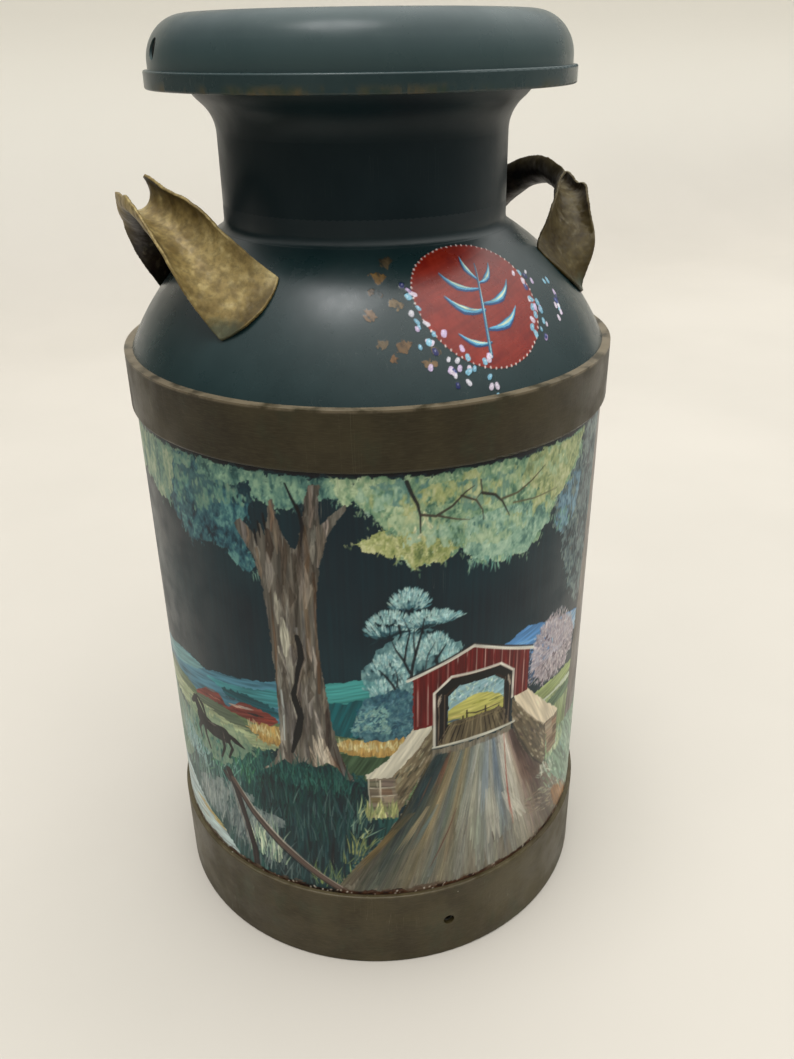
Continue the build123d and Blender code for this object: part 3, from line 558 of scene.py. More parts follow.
def paint_leaves():
    """Leaves hanging into the top of the picture, from pale green through teal to yellow-green."""
    ink, slate_blue = (30, 48, 56), (46, 74, 84)
    foliage([(-112, 404), (-60, 404), (-60, 392), (-66, 384), (-73, 372), (-77, 365), (-81, 361),
        (-86, 367), (-92, 371), (-100, 360), (-112, 372)], [(74, 104, 100), (104, 134, 116),
        (132, 152, 124), (160, 172, 142)], 460)
    foliage([(-72, 402), (-50, 404), (-49, 388), (-51, 372), (-52, 356), (-50, 340), (-52.4, 332),
        (-57, 344), (-61, 350), (-65, 345), (-69, 342), (-72, 350), (-76, 361), (-74, 380)], [ink,
        (42, 70, 80), (54, 92, 102), (70, 112, 114), (98, 142, 136)], 520, gaps=0.14)
    sponged([(-80, 404), (-50, 404), (-50, 384), (-58, 376), (-66, 366), (-76, 360), (-80, 372)],
        [(62, 98, 94), (96, 134, 118), (130, 156, 130)], cell=9, ragged=7, gaps=0.44, opacity=0.85)
    foliage([(-64, 404), (-29, 404), (-27, 391), (-31, 388), (-35, 391), (-40, 384), (-44, 381),
        (-48, 386), (-54, 391), (-62, 392)], [(54, 84, 82), (86, 122, 112), (114, 148, 128),
        (142, 172, 144)], 320)
    sponged([(-72, 394), (-60, 394), (-58, 372), (-64, 356), (-72, 362)],
        [ink, slate_blue, (66, 104, 108)], cell=6, gaps=0.5, opacity=0.8)
    sponged([(-56, 393), (-50, 395), (-49.6, 382), (-54, 380)], [ink, (44, 66, 72)], cell=5, gaps=0.38)
    green = [(76, 108, 90), (116, 148, 118), (150, 172, 136), (182, 198, 160)]
    mint = [(80, 114, 104), (118, 152, 134), (146, 176, 152), (176, 200, 174)]
    yellow = [(98, 114, 74), (138, 148, 92), (170, 174, 118), (198, 198, 150)]
    foliage([(-32, 404), (33, 404), (33, 388), (27, 376), (22, 366), (20, 354), (16, 344), (12, 336),
        (7, 338), (2, 339), (-2, 341), (-4, 350), (-9, 345), (-15, 343), (-18, 350), (-21, 355),
        (-21, 368), (-23, 376), (-26, 384), (-30, 390)], green, 900, size=2.6)
    foliage([(-28.6, 361), (-25, 365), (-21, 369), (-17, 368), (-9, 362), (-5, 354), (-9, 346),
        (-15, 344), (-18, 351), (-22, 355)], yellow, 260, size=2.4)
    foliage([(-3, 370), (8, 374), (18, 364), (20, 353), (14, 343), (12, 337), (6, 339), (-2, 342),
        (-4, 352)], mint, 320)
    foliage([(12, 403), (33, 403), (30, 385), (26, 372), (21, 364), (16, 377), (10, 389)],
        [(112, 128, 92), (144, 156, 110), (170, 176, 130), (190, 194, 154)], 240)
    sponged([(-24, 402), (-12, 402), (-13, 388), (-20, 384)],
        [(56, 88, 98), (82, 120, 120), (108, 144, 132)], cell=7, gaps=0.42, opacity=0.7)
    sponged([(-24, 378), (-17, 382), (-8, 376), (-8, 366), (-16, 368)],
        [(146, 168, 130), (190, 196, 150)], cell=5, gaps=0.46, opacity=0.7)
    for deg, z, wide, tall, tints in (
        (-2, 392, 12, 9, yellow), (10, 392, 8, 8, green), (-16, 390, 9, 9, yellow),
        (4, 360, 8, 10, green), (-8, 366, 9, 9, mint), (14, 372, 7, 10, yellow), (24, 392, 7, 8, green),
        (-22, 392, 6, 8, mint), (8, 348, 5, 8, mint), (-12, 376, 8, 8, green)
    ):
        around = np.radians(np.arange(0, 360, 40))
        sponged(np.stack([deg + wide * np.cos(around), z + tall * np.sin(around)], -1), tints, cell=8,
            ragged=9, gaps=0.5, opacity=0.75)
    sponged([(-6, 398), (8, 398), (6, 380), (-4, 378)], [(74, 108, 104), (112, 148, 132)], cell=4,
        gaps=0.45, opacity=0.7)
    for deg, z in ((24, 352), (26, 344), (-50, 334), (0, 340), (6, 338)):
        tuft(block(deg, z + 1, 6, 6), 16, 5, 0.9, [(96, 140, 130), (122, 160, 140)], lean=-88, spread=8)
    for deg, z in ((-13.6, 372), (-15, 368), (-12.6, 376), (-14.2, 364), (-11.6, 370)):
        dabs(unroll([(deg, z)]), 4.4, [(206, 206, 166)], 70)
    for points, width, colour in (
        ([(-16.6, 401), (-15.6, 393), (-14.4, 386), (-13.8, 378), (-13.8, 367)], 2.6, (44, 44, 44)),
        ([(-13.6, 379), (-10.5, 377), (-7, 382), (-4, 390), (-2, 393)], 1.9, (66, 60, 52)),
        ([(-10, 377), (-6, 373), (-3, 371)], 1.4, (78, 70, 58)),
        ([(-5, 388), (-1.5, 383), (0, 376), (0.4, 369)], 1.5, (72, 66, 56)),
        ([(0, 387), (3, 384), (5, 378), (7, 367)], 2.1, (52, 48, 44)),
        ([(5, 380), (9, 381), (13, 386), (17, 393)], 1.7, (84, 78, 60)),
        ([(8, 375), (14, 373), (22, 373)], 1.3, (98, 94, 70)),
        ([(-0.6, 396), (-0.2, 388), (-1.6, 384)], 1.2, (70, 66, 56))
    ):
        twig(points, width, colour)


def paint_right_tree():
    """Grey-blue leaves and a grey trunk that turn away round the right side."""
    mass = unroll([(21, 366), (26, 376), (31, 386), (36, 404), (64, 404), (64, 284), (52, 270),
        (38, 268), (31, 286), (28, 310), (26, 332), (22, 346)])
    grey = [(40, 52, 56), (70, 88, 90), (94, 112, 112), (122, 136, 126)]
    wall.sponge(mass, grey, cell=5, ragged=7, gaps=0.36, opacity=0.9)
    dabs(scatter(mass, 700), 2.6, grey[1:], 60, spread=60, opacity=0.55, slim=0.4)
    dabs(scatter(mass, 300), 2.4, [(46, 58, 62), (60, 68, 66), (70, 66, 56)], 60, spread=60,
        opacity=0.5)
    sponged([(23, 344), (22, 364), (28, 378), (34, 370), (32, 346), (26, 336)],
        [(54, 76, 88), (92, 124, 140), (126, 156, 166)], cell=4, ragged=6, gaps=0.4)
    trunk = unroll([(37.5, 62), (36.5, 120), (37, 180), (38.5, 230), (41, 290), (44, 360), (46, 404),
        (56, 404), (51, 330), (49, 250), (49, 160), (51, 62)])
    wall.patch(trunk, (108, 100, 92), grain=88, streak=0.5, ragged=1, dry=0.12, long=20)
    wall.clip(trunk)
    for _ in range(150):
        deg, z = rng.uniform(36, 52), rng.uniform(62, 390)
        brush([(deg, z), (deg + rng.uniform(-0.3, 0.6), z + rng.uniform(12, 30))],
            rng.uniform(1.5, 3.5), varied(pick([(126, 118, 110), (88, 80, 74), (108, 100, 92),
            (70, 64, 60)])), opacity=0.7, dry=0.3)
    wall.clip(None)


def paint_blossom():
    """A round tree in pale pink flower."""
    crown = unroll([(15.5, 246), (16.5, 258), (19.5, 268), (24, 274), (28.5, 273), (32, 264),
        (35.5, 254), (37.5, 240), (35.5, 226), (29, 218), (22, 221), (17, 227), (15, 236)])
    wall.sponge(rounded(crown), [(120, 108, 114), (158, 144, 148), (184, 172, 174)], cell=5, ragged=8,
        gaps=0.26, opacity=0.85)
    tints = [(184, 170, 168), (166, 152, 152), (204, 192, 190), (150, 138, 142), (180, 176, 180)]
    centre = unroll([(26, 244)])[0]
    for x, y in scatter(rounded(crown), 900):
        out = np.array((x, y)) - centre
        out /= np.linalg.norm(out) + 1e-6
        wall.stroke([(x, y), (x + out[0] * 2.6, y + out[1] * 2.6)], 1.3, varied(pick(tints), 0.05),
            opacity=0.6, taper=(0.8, 1, 0.2), lift=0.12)
    for deg, z in ((15.4, 252), (15.6, 244), (16, 236), (17, 230)):
        leaves(block(deg + 0.1, z, 1.6, 8), 12, 2.4, [(70, 92, 120), (52, 66, 86)], 60)
    for deg, z in (
        (22, 256), (23.4, 254), (26, 238), (31, 240), (24, 221), (31, 222), (26, 220), (21, 222),
        (33, 230)
    ):
        leaves(block(deg, z, 1.2, 4), 4, 2, [(92, 78, 86), (112, 96, 100)], 40)
    twig([(24.4, 219), (23.6, 227), (21.4, 236)], 1, (88, 76, 80))


def paint_mint_tree():
    shade = [(84, 122, 128), (64, 98, 106)]
    mint = [(158, 190, 186), (132, 170, 170), (178, 204, 198), (112, 152, 156)]
    crown = unroll([(-26.6, 262), (-25.6, 276), (-22.4, 288), (-17.6, 296), (-11.6, 298), (-7.6, 290),
        (-4.4, 280), (-7, 270), (-14, 262), (-16, 240), (-24, 244)])
    wall.sponge(rounded(crown), [(70, 104, 110), (108, 148, 150), (140, 178, 174)], cell=5, ragged=6,
        gaps=0.3, opacity=0.8)
    for base, spread, height, count in (
        ((-16.2, 314), 15, 17, 210), ((-20.4, 294), 19, 22, 240), ((-12, 300), 22, 14, 220),
        ((-8, 303), 15, 6, 90)
    ):
        fan(base, spread, height * 0.45, shade, count // 2)
        fan(base, spread, height, mint, count)
    for base, spread, height, count in (
        ((-21.6, 262), 13, 22, 150), ((-16, 272), 16, 24, 190), ((-10.4, 272), 15, 24, 190),
        ((-22.4, 248), 11, 16, 90), ((-6.8, 270), 9, 13, 70), ((-17, 254), 9, 18, 80)
    ):
        fan(base, spread, height, mint, count)
    for deg, z, run in ((-22.6, 293, 15), (-18.6, 297, 16), (-12.4, 299.5, 12)):
        brush([(deg - run / 5.8, z - 3.6), (deg, z + 1), (deg + run / 5.8, z + 1.6)], 2.6, SLATE,
            taper=(0.4, 1, 0.2), opacity=0.85, dry=0.2)
    bark = (36, 38, 40)
    for points, width, colour in (
        ([(-16, 262), (-15.6, 272), (-14.6, 284), (-13.4, 298), (-13, 306)], 2.2, bark),
        ([(-16.2, 266), (-17.6, 276), (-19.4, 285), (-20.2, 292)], 1.8, bark),
        ([(-17.4, 276), (-17, 286), (-16.2, 297), (-17.6, 308)], 1.5, bark),
        ([(-15, 280), (-15.4, 290), (-15.2, 300)], 1.2, bark),
        ([(-9.8, 268), (-10.2, 274), (-8, 284)], 2.4, bark),
        ([(-12.8, 266), (-12.2, 278), (-10.4, 288)], 1.1, (64, 72, 74)),
        ([(-19, 250), (-20.2, 258), (-22, 266), (-23.2, 270)], 1.9, bark),
        ([(-19.2, 256), (-19, 263), (-19.6, 270)], 1.2, bark),
        ([(-18.6, 303), (-18.2, 296), (-18.8, 292)], 1.8, bark)
    ):
        twig(points, width, colour)
    bush = unroll([(-30, 222), (-28, 238), (-25, 248), (-21, 252), (-15.4, 248), (-15.4, 216),
        (-28, 214)])
    wall.sponge(rounded(bush), [(44, 72, 84), (66, 102, 114), (94, 134, 138)], cell=6, ragged=5,
        opacity=0.95)
    dabs(scatter(bush, 330), 3, [(78, 120, 130), (58, 92, 108), (104, 142, 146), (50, 80, 96)], 70,
        spread=45, opacity=0.55, slim=0.45)
    leaves([(-30, 220), (-28, 236), (-21, 240), (-21, 218)], 120, 2.6,
        [(120, 158, 152), (140, 172, 160)], 70, spread=45, opacity=0.7)


def paint_bridge():
    red, trim, dark = (98, 38, 35), (208, 204, 190), (24, 21, 20)
    gable = unroll([(-15.6, 219), (-15.6, 261), (-1, 279), (15.8, 258.5), (15.6, 223), (10.4, 224),
        (-10.6, 221)])
    wall.patch(gable, red, grain=90, streak=0.35, ragged=0.15, lift=0.06)
    wall.clip(gable)
    for i, deg in enumerate(np.arange(-15, 15.6, 1.18)):
        top = 279 - abs(deg + 1) * 1.25
        brush([(deg, 222), (deg + 0.1, top)], 0.9, (62, 24, 24), opacity=0.6)
        if i % 2 == 0:
            brush([(deg + 0.5, 222), (deg + 0.55, top)], 0.8, (188, 172, 160), opacity=0.75,
                taper=(0.7, 1, 0.7), dry=0.3)
    wall.clip(None)
    portal = unroll([(-10.2, 201), (-10.2, 247), (-6.4, 256.4), (6.4, 255.6), (10.2, 246.4),
        (10.2, 201)])
    wall.patch(portal, dark, grain=90, streak=0.5, ragged=0.1)
    view = unroll([(-7.2, 219), (-7.2, 242.5), (-4.6, 249.2), (4.8, 249), (7.8, 242), (7.8, 219)])
    wall.patch(view, (138, 170, 176), grain=20, streak=0.25, ragged=0.2)
    wall.clip(view)
    leaves([(-7.2, 234), (-7, 249), (7, 249), (7.8, 234)], 90, 2.6, [(158, 184, 170), (132, 166, 164),
        (176, 196, 178), (104, 144, 150), (190, 204, 200)], 70, spread=50)
    area([(-7.6, 228), (-4, 235), (0, 239), (4, 236), (8, 227), (8, 217), (-7.6, 217)], (176, 172, 96),
        5, 0.3)
    for deg, z, tint in (
        (-5, 224, (214, 196, 120)), (1, 231, (150, 150, 72)), (4, 224, (190, 178, 110)),
        (-2, 227, (198, 192, 118)), (5.6, 229, (120, 124, 70)), (-6, 221, (70, 90, 110)),
        (-4.6, 219.6, (40, 46, 50)), (2, 221, (142, 132, 74))
    ):
        brush([(deg - 2, z), (deg + 2, z + 0.6)], 2.2, tint, taper=(0.3, 1, 0.2), opacity=0.85)
    for deg, top in ((-2.4, 227), (2.6, 226), (-3.4, 223), (6.4, 222)):
        brush([(deg, 216), (deg, top)], 1.5, (48, 40, 32), opacity=0.9, taper=(1, 1, 0.8))
    brush([(-2.6, 225), (0, 223), (6.8, 224)], 1.3, (52, 44, 36), opacity=0.9)
    wall.clip(portal)
    floor = unroll([(-10.4, 200), (-7.2, 218), (-5.6, 221), (6.8, 221), (8.4, 216), (10.4, 200)])
    wall.patch(floor, (96, 86, 66), grain=80, streak=0.4, ragged=0.3)
    for t in np.linspace(-1, 1, 15):
        brush([(0.3 + 7 * t, 220 - 2.5 * abs(t)), (0.3 + 10.2 * t, 201)], 1, pick([(34, 28, 22),
            (136, 124, 96), (28, 23, 19), (112, 100, 76)]), opacity=0.8, dry=0.15)
    for deg, z in ((-4.4, 217), (-1, 218), (3, 218), (6, 216)):
        brush([(deg - 1.6, z), (deg + 1.6, z + 0.4)], 1.6, (128, 114, 82), opacity=0.55, dry=0.3)
    for side in (-1, 1):
        for deg, wide, tint in (
            (9.5, 1.3, (112, 98, 84)), (8.7, 1, (44, 38, 34)), (8.1, 1.1, (92, 80, 68))
        ):
            brush([(side * deg, 204), (side * deg, 244)], wide, tint, taper=(1, 1, 1), opacity=0.8,
                dry=0.3)
        brush([(side * 9.7, 236), (side * 8.9, 245)], 2.6, (190, 176, 158), opacity=0.7, dry=0.35)
        brush([(side * 7.9, 243), (side * 5, 250)], 2.2, (58, 46, 38), opacity=0.8)
    wall.clip(None)
    frame_line = [(-10.5, 203), (-10.6, 247), (-6.5, 257.6), (6.5, 256.8), (10.5, 247), (10.5, 224)]
    for start, end in zip(frame_line[:-1], frame_line[1:]):
        brush([start, end], 2, trim, taper=(1, 1, 1), streak=0.25, lift=0.12)
    brush([(-10.9, 201.5), (0, 202), (11.6, 201.5)], 2.6, (206, 204, 188), taper=(0.6, 1, 0.7),
        streak=0.3, lift=0.12)
    for a, b in (((-16.8, 259.8), (-1, 278.2)), ((-1, 278.2), (16.8, 257.2))):
        brush([a, b], 2.4, trim, taper=(0.9, 1, 1), streak=0.25, lift=0.14)
        brush([(a[0], a[1] + 1.9), (b[0], b[1] + 1.9)], 1.3, (58, 52, 50), taper=(0.6, 1, 0.8))


def paint_road():
    road = unroll([(-10.8, 200), (10.6, 200), (13.5, 182), (17.5, 165), (22.5, 150), (28, 132),
        (33, 112), (40, 88), (50, 62), (-38, 62), (-33, 84), (-29, 102), (-24, 120), (-18.5, 146),
        (-14, 176)])
    wall.patch(road, (112, 106, 92), grain=90, streak=0.3, ragged=1)
    wall.clip(road)
    horizon = unroll([(1.6, 262)])[0]
    tints = ((-1, (84, 74, 50)), (-0.86, (66, 62, 48)), (-0.74, (44, 56, 56)), (-0.62, (62, 66, 60)),
        (-0.5, (124, 112, 84)), (-0.38, (88, 98, 96)), (-0.28, (132, 120, 92)),
        (-0.18, (104, 112, 106)), (-0.08, (142, 142, 126)), (0.04, (122, 130, 126)),
        (0.14, (148, 150, 140)), (0.24, (104, 116, 122)), (0.34, (140, 136, 124)),
        (0.44, (196, 190, 176)), (0.52, (150, 130, 116)), (0.62, (86, 70, 62)), (0.74, (72, 58, 52)),
        (0.88, (112, 98, 86)), (1, (120, 116, 100)))
    stops = [t for t, _ in tints]
    bands = np.array([c for _, c in tints], float)
    for layer, (count, broad, shift, strong) in enumerate(((420, 2.1, 0.05, 0.8), (520, 1, 0.08, 0.5))):
        for _ in range(count):
            t = rng.uniform(-1.05, 1.05)
            foot = np.array((t * 46 * PER_DEGREE * 0.92 + 7, 62))
            away = horizon - foot
            start, run = rng.uniform(0, 0.62), rng.uniform(0.12, 0.36)
            tint = [np.interp(t, stops, bands[:, k]) for k in range(3)]
            fade = blended(tint, (108, 103, 88), max(0, 0.62 - 2 * start))
            a, b = foot + away * start, foot + away * min(start + run, 0.66)
            width = rng.uniform(2, 5.2) * broad * (1 - 0.82 * start)
            wall.stroke([a, b], width, varied(fade, shift), taper=(0.4, 1, 0.4), opacity=strong,
                streak=0.35, dry=0.12 + 0.16 * layer)
    for start, end, wide, tint in (
        ((-9.4, 196), (-15.6, 150), 6, (40, 54, 58)), ((-8.6, 190), (-13.4, 160), 5, (52, 64, 64)),
        ((-6.6, 196), (-10.4, 160), 2.6, (112, 74, 58)), ((-3.6, 198), (-13, 118), 2.4, (142, 128, 98)),
        ((1, 198), (-4, 120), 3.4, (146, 148, 140)), ((3.4, 198), (3.2, 130), 3.4, (120, 132, 142)),
        ((5.2, 196), (7.2, 140), 2.6, (104, 118, 132)), ((6.8, 198), (11, 132), 2.8, (196, 196, 190)),
        ((9.6, 140), (16.4, 104), 7.6, (198, 194, 178)), ((7.6, 188), (13, 118), 6, (176, 172, 158)),
        ((4.6, 150), (7, 96), 8, (160, 156, 140)), ((0, 170), (-3, 110), 7, (146, 144, 128)),
        ((10.6, 196), (15.6, 160), 5, (62, 50, 46)), ((13.6, 170), (19, 130), 6, (92, 72, 64)),
        ((17, 152), (24, 128), 5, (82, 68, 58)), ((-16, 146), (-30, 100), 6, (88, 80, 56)),
        ((-20, 132), (-31, 92), 5, (104, 88, 58)), ((-12, 150), (-20, 108), 3, (150, 136, 104)),
        ((-9.6, 150), (-16, 112), 2.4, (92, 108, 108))
    ):
        a, b = unroll([start, end])
        for shift in (-0.3, 0, 0.3):
            wall.stroke([a + (shift * wide, 0), b + (2.2 * shift * wide, 0)], wide * 0.7,
                varied(tint, 0.04), taper=(0.25, 1, 0.2), opacity=0.55, streak=0.4, dry=0.2)
    for line, tint in (
        ([(8.4, 196), (9.4, 168), (10.6, 140), (12.8, 112), (13.4, 102)], (168, 92, 78)),
        ([(-4.6, 142), (-6.6, 124), (-9.4, 104), (-11.6, 90)], (92, 62, 52)),
        ([(10.2, 150), (11.2, 130), (12.2, 114)], (150, 84, 74)),
        ([(-11.2, 176), (-14.4, 152)], (86, 66, 54)), ([(2, 160), (1.6, 128)], (168, 166, 156)),
        ([(6.2, 106), (7, 94)], (66, 58, 52))
    ):
        brush(line, 1.2, tint, taper=(0.4, 1, 0.2), opacity=0.8, streak=0.2)
    for _ in range(170):
        deg, z = rng.uniform(17, 36), rng.uniform(80, 118)
        if deg * 1.5 + z > 128:
            brush([(deg, z), (deg + rng.uniform(1.6, 4), z - rng.uniform(1, 6))], rng.uniform(1, 2.2),
                varied(pick([(128, 112, 92), (150, 140, 116), (100, 88, 74), (138, 140, 118)])),
                opacity=0.6, dry=0.3)
    wall.clip(None)
    area([(31, 102), (38, 92), (46, 76), (50, 62), (40, 62), (33, 84)], (134, 100, 66), -60, 0.4,
        ragged=1, dry=0.15)


def paint_verge():
    """Pale grass to the right of the road."""
    verge = unroll([(24, 158), (30, 162), (38, 160), (66, 140), (66, 62), (50, 62), (42, 86), (34, 106),
        (28, 130)])
    wall.patch(rounded(verge), (112, 132, 112), grain=-55, streak=0.45, ragged=1.2)
    for _ in range(330):
        deg, z = rng.uniform(25, 62), rng.uniform(68, 158)
        if z > 172 - 2.15 * deg:
            run = rng.uniform(4, 11)
            brush([(deg, z), (deg + run / 4.2, z - run)], rng.uniform(0.9, 2.2),
                varied(pick([(150, 172, 150), (126, 152, 126), (172, 186, 164), (96, 120, 98),
                (112, 140, 128)])), opacity=0.7, dry=0.2)
    tuft([(24, 138), (24, 152), (34, 156), (36, 140)], 60, 10, 1,
        [(158, 166, 118), (132, 148, 104), (176, 184, 150)], spread=18)
    tuft([(23, 128), (24, 140), (32, 132), (30, 122)], 34, 9, 0.9, [(186, 190, 172), (150, 158, 140)],
        lean=120, spread=22)


def stones(places, tints, ragged):
    """Squared stones, each given by its middle, how wide it is in degrees and how tall."""
    for deg, z, wide, tall in places:
        area(block(deg, z, wide, tall), varied(pick(tints), 0.08), 0, 0.35, soft=False, ragged=ragged,
            lift=0.08)


def paint_parapets():
    cap, shade = (202, 196, 176), (120, 108, 88)
    left_face = unroll([(-10.8, 221), (-10.9, 196), (-14, 178), (-19.4, 146), (-20.4, 144),
        (-20.2, 184), (-17, 194), (-13, 209)])
    wall.patch(left_face, (104, 94, 74), grain=60, streak=0.4, ragged=0.4)
    wall.clip(left_face)
    for _ in range(120):
        deg, z = rng.uniform(-20.4, -10.6), rng.uniform(146, 216)
        brush([(deg, z), (deg + 1, z + 5.5)], 1.6, varied(pick([(132, 122, 98), (84, 76, 60),
            (62, 60, 52), (150, 142, 118)])), opacity=0.7, dry=0.2)
    wall.clip(None)
    pier = unroll([(-26.4, 181), (-20, 181), (-19.6, 160), (-19.4, 144), (-26.4, 144)])
    wall.patch(pier, (118, 108, 92), grain=0, streak=0.35, ragged=0.5)
    stones(((-25, 175, 2.4, 6), (-21.8, 175, 2.6, 6), (-25.2, 167.5, 2.2, 5.5), (-22.2, 167.5, 3, 5.5),
        (-24.8, 160.5, 2.6, 5), (-21.6, 160.5, 2.4, 5)),
        [(140, 128, 108), (104, 96, 84), (124, 108, 84)], 0.35)
    for a, b, wide in (
        ((-23.6, 178), (-23.4, 158), 1.4), ((-26, 171.2), (-20, 171.4), 1.2),
        ((-25.6, 164), (-20, 164), 1), ((-24.4, 180), (-24.2, 172), 1),
        ((-26.3, 180), (-26.3, 150), 1.1)
    ):
        brush([a, b], wide, (198, 190, 170), opacity=0.75, taper=(0.8, 1, 0.6), dry=0.25)
    tuft([(-27, 142), (-27, 150), (-19.4, 150), (-19.2, 142)], 70, 9, 1.2, [(166, 166, 110),
        (140, 146, 98), (196, 192, 140), (110, 122, 84)], spread=10)
    area([(-15.6, 221), (-13.4, 223), (-11, 222.4), (-11.2, 217), (-13.4, 207), (-16.4, 196),
        (-19.8, 184), (-20.6, 180), (-26.6, 180), (-27, 183), (-25, 187), (-22.2, 194), (-19.2, 205)],
        cap, 58, 0.2, soft=False, ragged=0.4, lift=0.14)
    brush([(-20.4, 181), (-17, 192), (-13.6, 205), (-11.3, 216)], 1.2, (128, 112, 90), opacity=0.7)
    right_face = unroll([(10.6, 223), (14, 210), (18.4, 196), (22, 184), (24.4, 182), (25.6, 146),
        (24, 140), (20, 152), (16, 168), (13, 184), (11, 200)])
    wall.patch(right_face, (96, 86, 68), grain=-60, streak=0.45, ragged=0.4)
    wall.clip(right_face)
    for _ in range(190):
        deg, z = rng.uniform(10.6, 25), rng.uniform(142, 222)
        brush([(deg, z), (deg + 1.3, z - 5)], 1.6, varied(pick([(142, 130, 106), (66, 60, 50),
            (110, 98, 78), (168, 158, 134), (84, 78, 64)])), opacity=0.7, dry=0.25)
    wall.clip(None)
    brush([(11.2, 200), (13.6, 184), (16.6, 168), (20.4, 152), (24.4, 140)], 2.2, (44, 42, 38),
        opacity=0.7, dry=0.2)
    right_pier = unroll([(24, 181), (30.6, 179), (31, 148), (26.4, 146)])
    wall.patch(right_pier, (134, 118, 96), grain=0, streak=0.35, ragged=0.6)
    stones(((26, 174, 3, 6), (29.2, 173, 2.6, 6), (27, 166, 2.6, 5.5), (29.8, 165, 2.2, 6),
        (28, 157, 3, 5), (30, 156, 1.8, 5)), [(128, 102, 80), (150, 134, 112), (112, 90, 72)], 0.4)
    area([(10.6, 226), (15.6, 225), (19.4, 213), (23.6, 200), (28.2, 188), (30.8, 181), (29, 178.6),
        (23.6, 180), (19.8, 190), (15.6, 203), (12.4, 215)], (204, 190, 164), -62, 0.22, soft=False,
        ragged=0.4, lift=0.14)
    brush([(12.4, 216), (16, 202), (20.4, 188), (23.8, 180)], 1.2, shade, opacity=0.8)


def paint_fence():
    """A leaning post and a long fallen branch in the near left corner."""
    brush([(-65.4, 155), (-63.2, 140), (-60.4, 112), (-58.8, 90), (-58.4, 66)], 6.4, (46, 38, 36),
        taper=(1, 0.85, 1), opacity=1, streak=0.4, lift=0.12)
    brush([(-66.4, 153), (-64.4, 136), (-61.6, 108), (-60.2, 88)], 1.4, (128, 116, 106), opacity=0.7,
        dry=0.3)
    brush([(-67.4, 151), (-66.2, 148), (-65.6, 145)], 4, (66, 56, 52), taper=(0.7, 1, 0.7))
    brush([(-64, 149), (-58.4, 128), (-50, 106), (-40, 84), (-30.6, 65)], 6, (84, 70, 62),
        taper=(0.8, 0.85, 1.1), opacity=1, streak=0.4, lift=0.14)
    brush([(-63.4, 150.6), (-57.6, 130.4), (-49.2, 108.4), (-39.4, 86.4), (-31, 69)], 1.7,
        (168, 156, 144), opacity=0.75, taper=(0.4, 1, 0.6), dry=0.25)
    brush([(-63.8, 144.6), (-58.4, 124.4), (-50.4, 102.6), (-40.8, 80.6)], 1.9, (34, 28, 28),
        opacity=0.8, dry=0.15)


def paint_dirt():
    """Rusty grime gathered above the bottom hoop, and a dark line left bare under the breast hoop."""
    for low, high, tints, gaps in (
        (WALL_LOW - 2, WALL_LOW + 3.2, [(34, 26, 22), (74, 50, 38), (98, 72, 56)], 0.22),
        (WALL_LOW - 2, WALL_LOW + 5.5, [(58, 46, 38), (92, 78, 64)], 0.56),
        (WALL_HIGH - 2.6, WALL_HIGH + 2, [(22, 30, 32), (30, 40, 42)], 0.2)
    ):
        sponged([(-179, low), (-90, low), (0, low), (90, low), (179, low), (179, high), (90, high),
            (0, high), (-90, high), (-179, high)], tints, cell=9, ragged=3.2, gaps=gaps, opacity=0.9,
            lean=0)
    for _ in range(60):
        deg, z = rng.uniform(-100, 60), WALL_LOW + rng.uniform(0.5, 3.5)
        fleck(wall, deg * PER_DEGREE, z, rng.uniform(0.8, 1.6),
            pick([(150, 138, 120), (120, 104, 88), (168, 160, 146)]))


def paint_wall():
    """The landscape, farthest things first; it ends in the first paint round the back."""
    x, y = wall.x[None, :], wall.y[:, None]
    hairs, clouds = value_noise(x / 1.3, y / 40, 6), value_noise(x / 30, y / 34, 7)
    wall.colour *= (1 + 0.1 * (hairs - 0.5) + 0.16 * (clouds - 0.5))[..., None]
    for layer in (paint_hills, paint_fields, paint_meadow, paint_right_tree, paint_blossom,
            paint_mint_tree, paint_leaves, paint_horse, paint_trunk, paint_road, paint_verge,
            paint_parapets, paint_bridge, paint_fence, paint_dirt):
        layer()


# ---- meshes ----
def new_mesh(name, points, faces, colours=None):
    mesh = bpy.data.meshes.new(name)
    mesh.from_pydata([tuple(p) for p in points], [], faces)
    mesh.validate()
    mesh.polygons.foreach_set("use_smooth", [True] * len(mesh.polygons))
    if colours is not None:
        layer = mesh.color_attributes.new("paint", "FLOAT_COLOR", "POINT")
        rgba = np.ones((len(points), 4), np.float32)
        rgba[:, :colours.shape[1]] = colours
        layer.data.foreach_set("color", rgba.ravel())
    mesh.update()
    obj = bpy.data.objects.new(name, mesh)
    bpy.context.scene.collection.objects.link(obj)
    return obj


def ring_grid(rows, columns, start=0):
    """Quads of a grid that closes on itself, row above row."""
    i = np.arange(rows - 1)[:, None] * columns
    j = np.arange(columns)[None, :]
    k = (j + 1) % columns
    return (start + np.stack([i + j, i + k, i + columns + k, i + columns + j], -1)).reshape(-1, 4)


def shell_mesh(name, outer, inner, colours):
    """A closed thin shell from an outer and an inner stack of rings; both run from the bottom up."""
    columns = outer.shape[1]
    points = np.concatenate([outer.reshape(-1, 3), inner.reshape(-1, 3)])
    start = outer.shape[0] * columns
    faces = [ring_grid(outer.shape[0], columns), ring_grid(inner.shape[0], columns, start)[:, ::-1]]
    j = np.arange(columns)
    k = (j + 1) % columns
    faces.append(np.stack([start + j, start + k, k, j], -1))
    a, b = (outer.shape[0] - 1) * columns, start + (inner.shape[0] - 1) * columns
    faces.append(np.stack([a + j, a + k, b + k, b + j], -1))
    return new_mesh(name, points * MM, np.concatenate(faces).tolist(), colours)


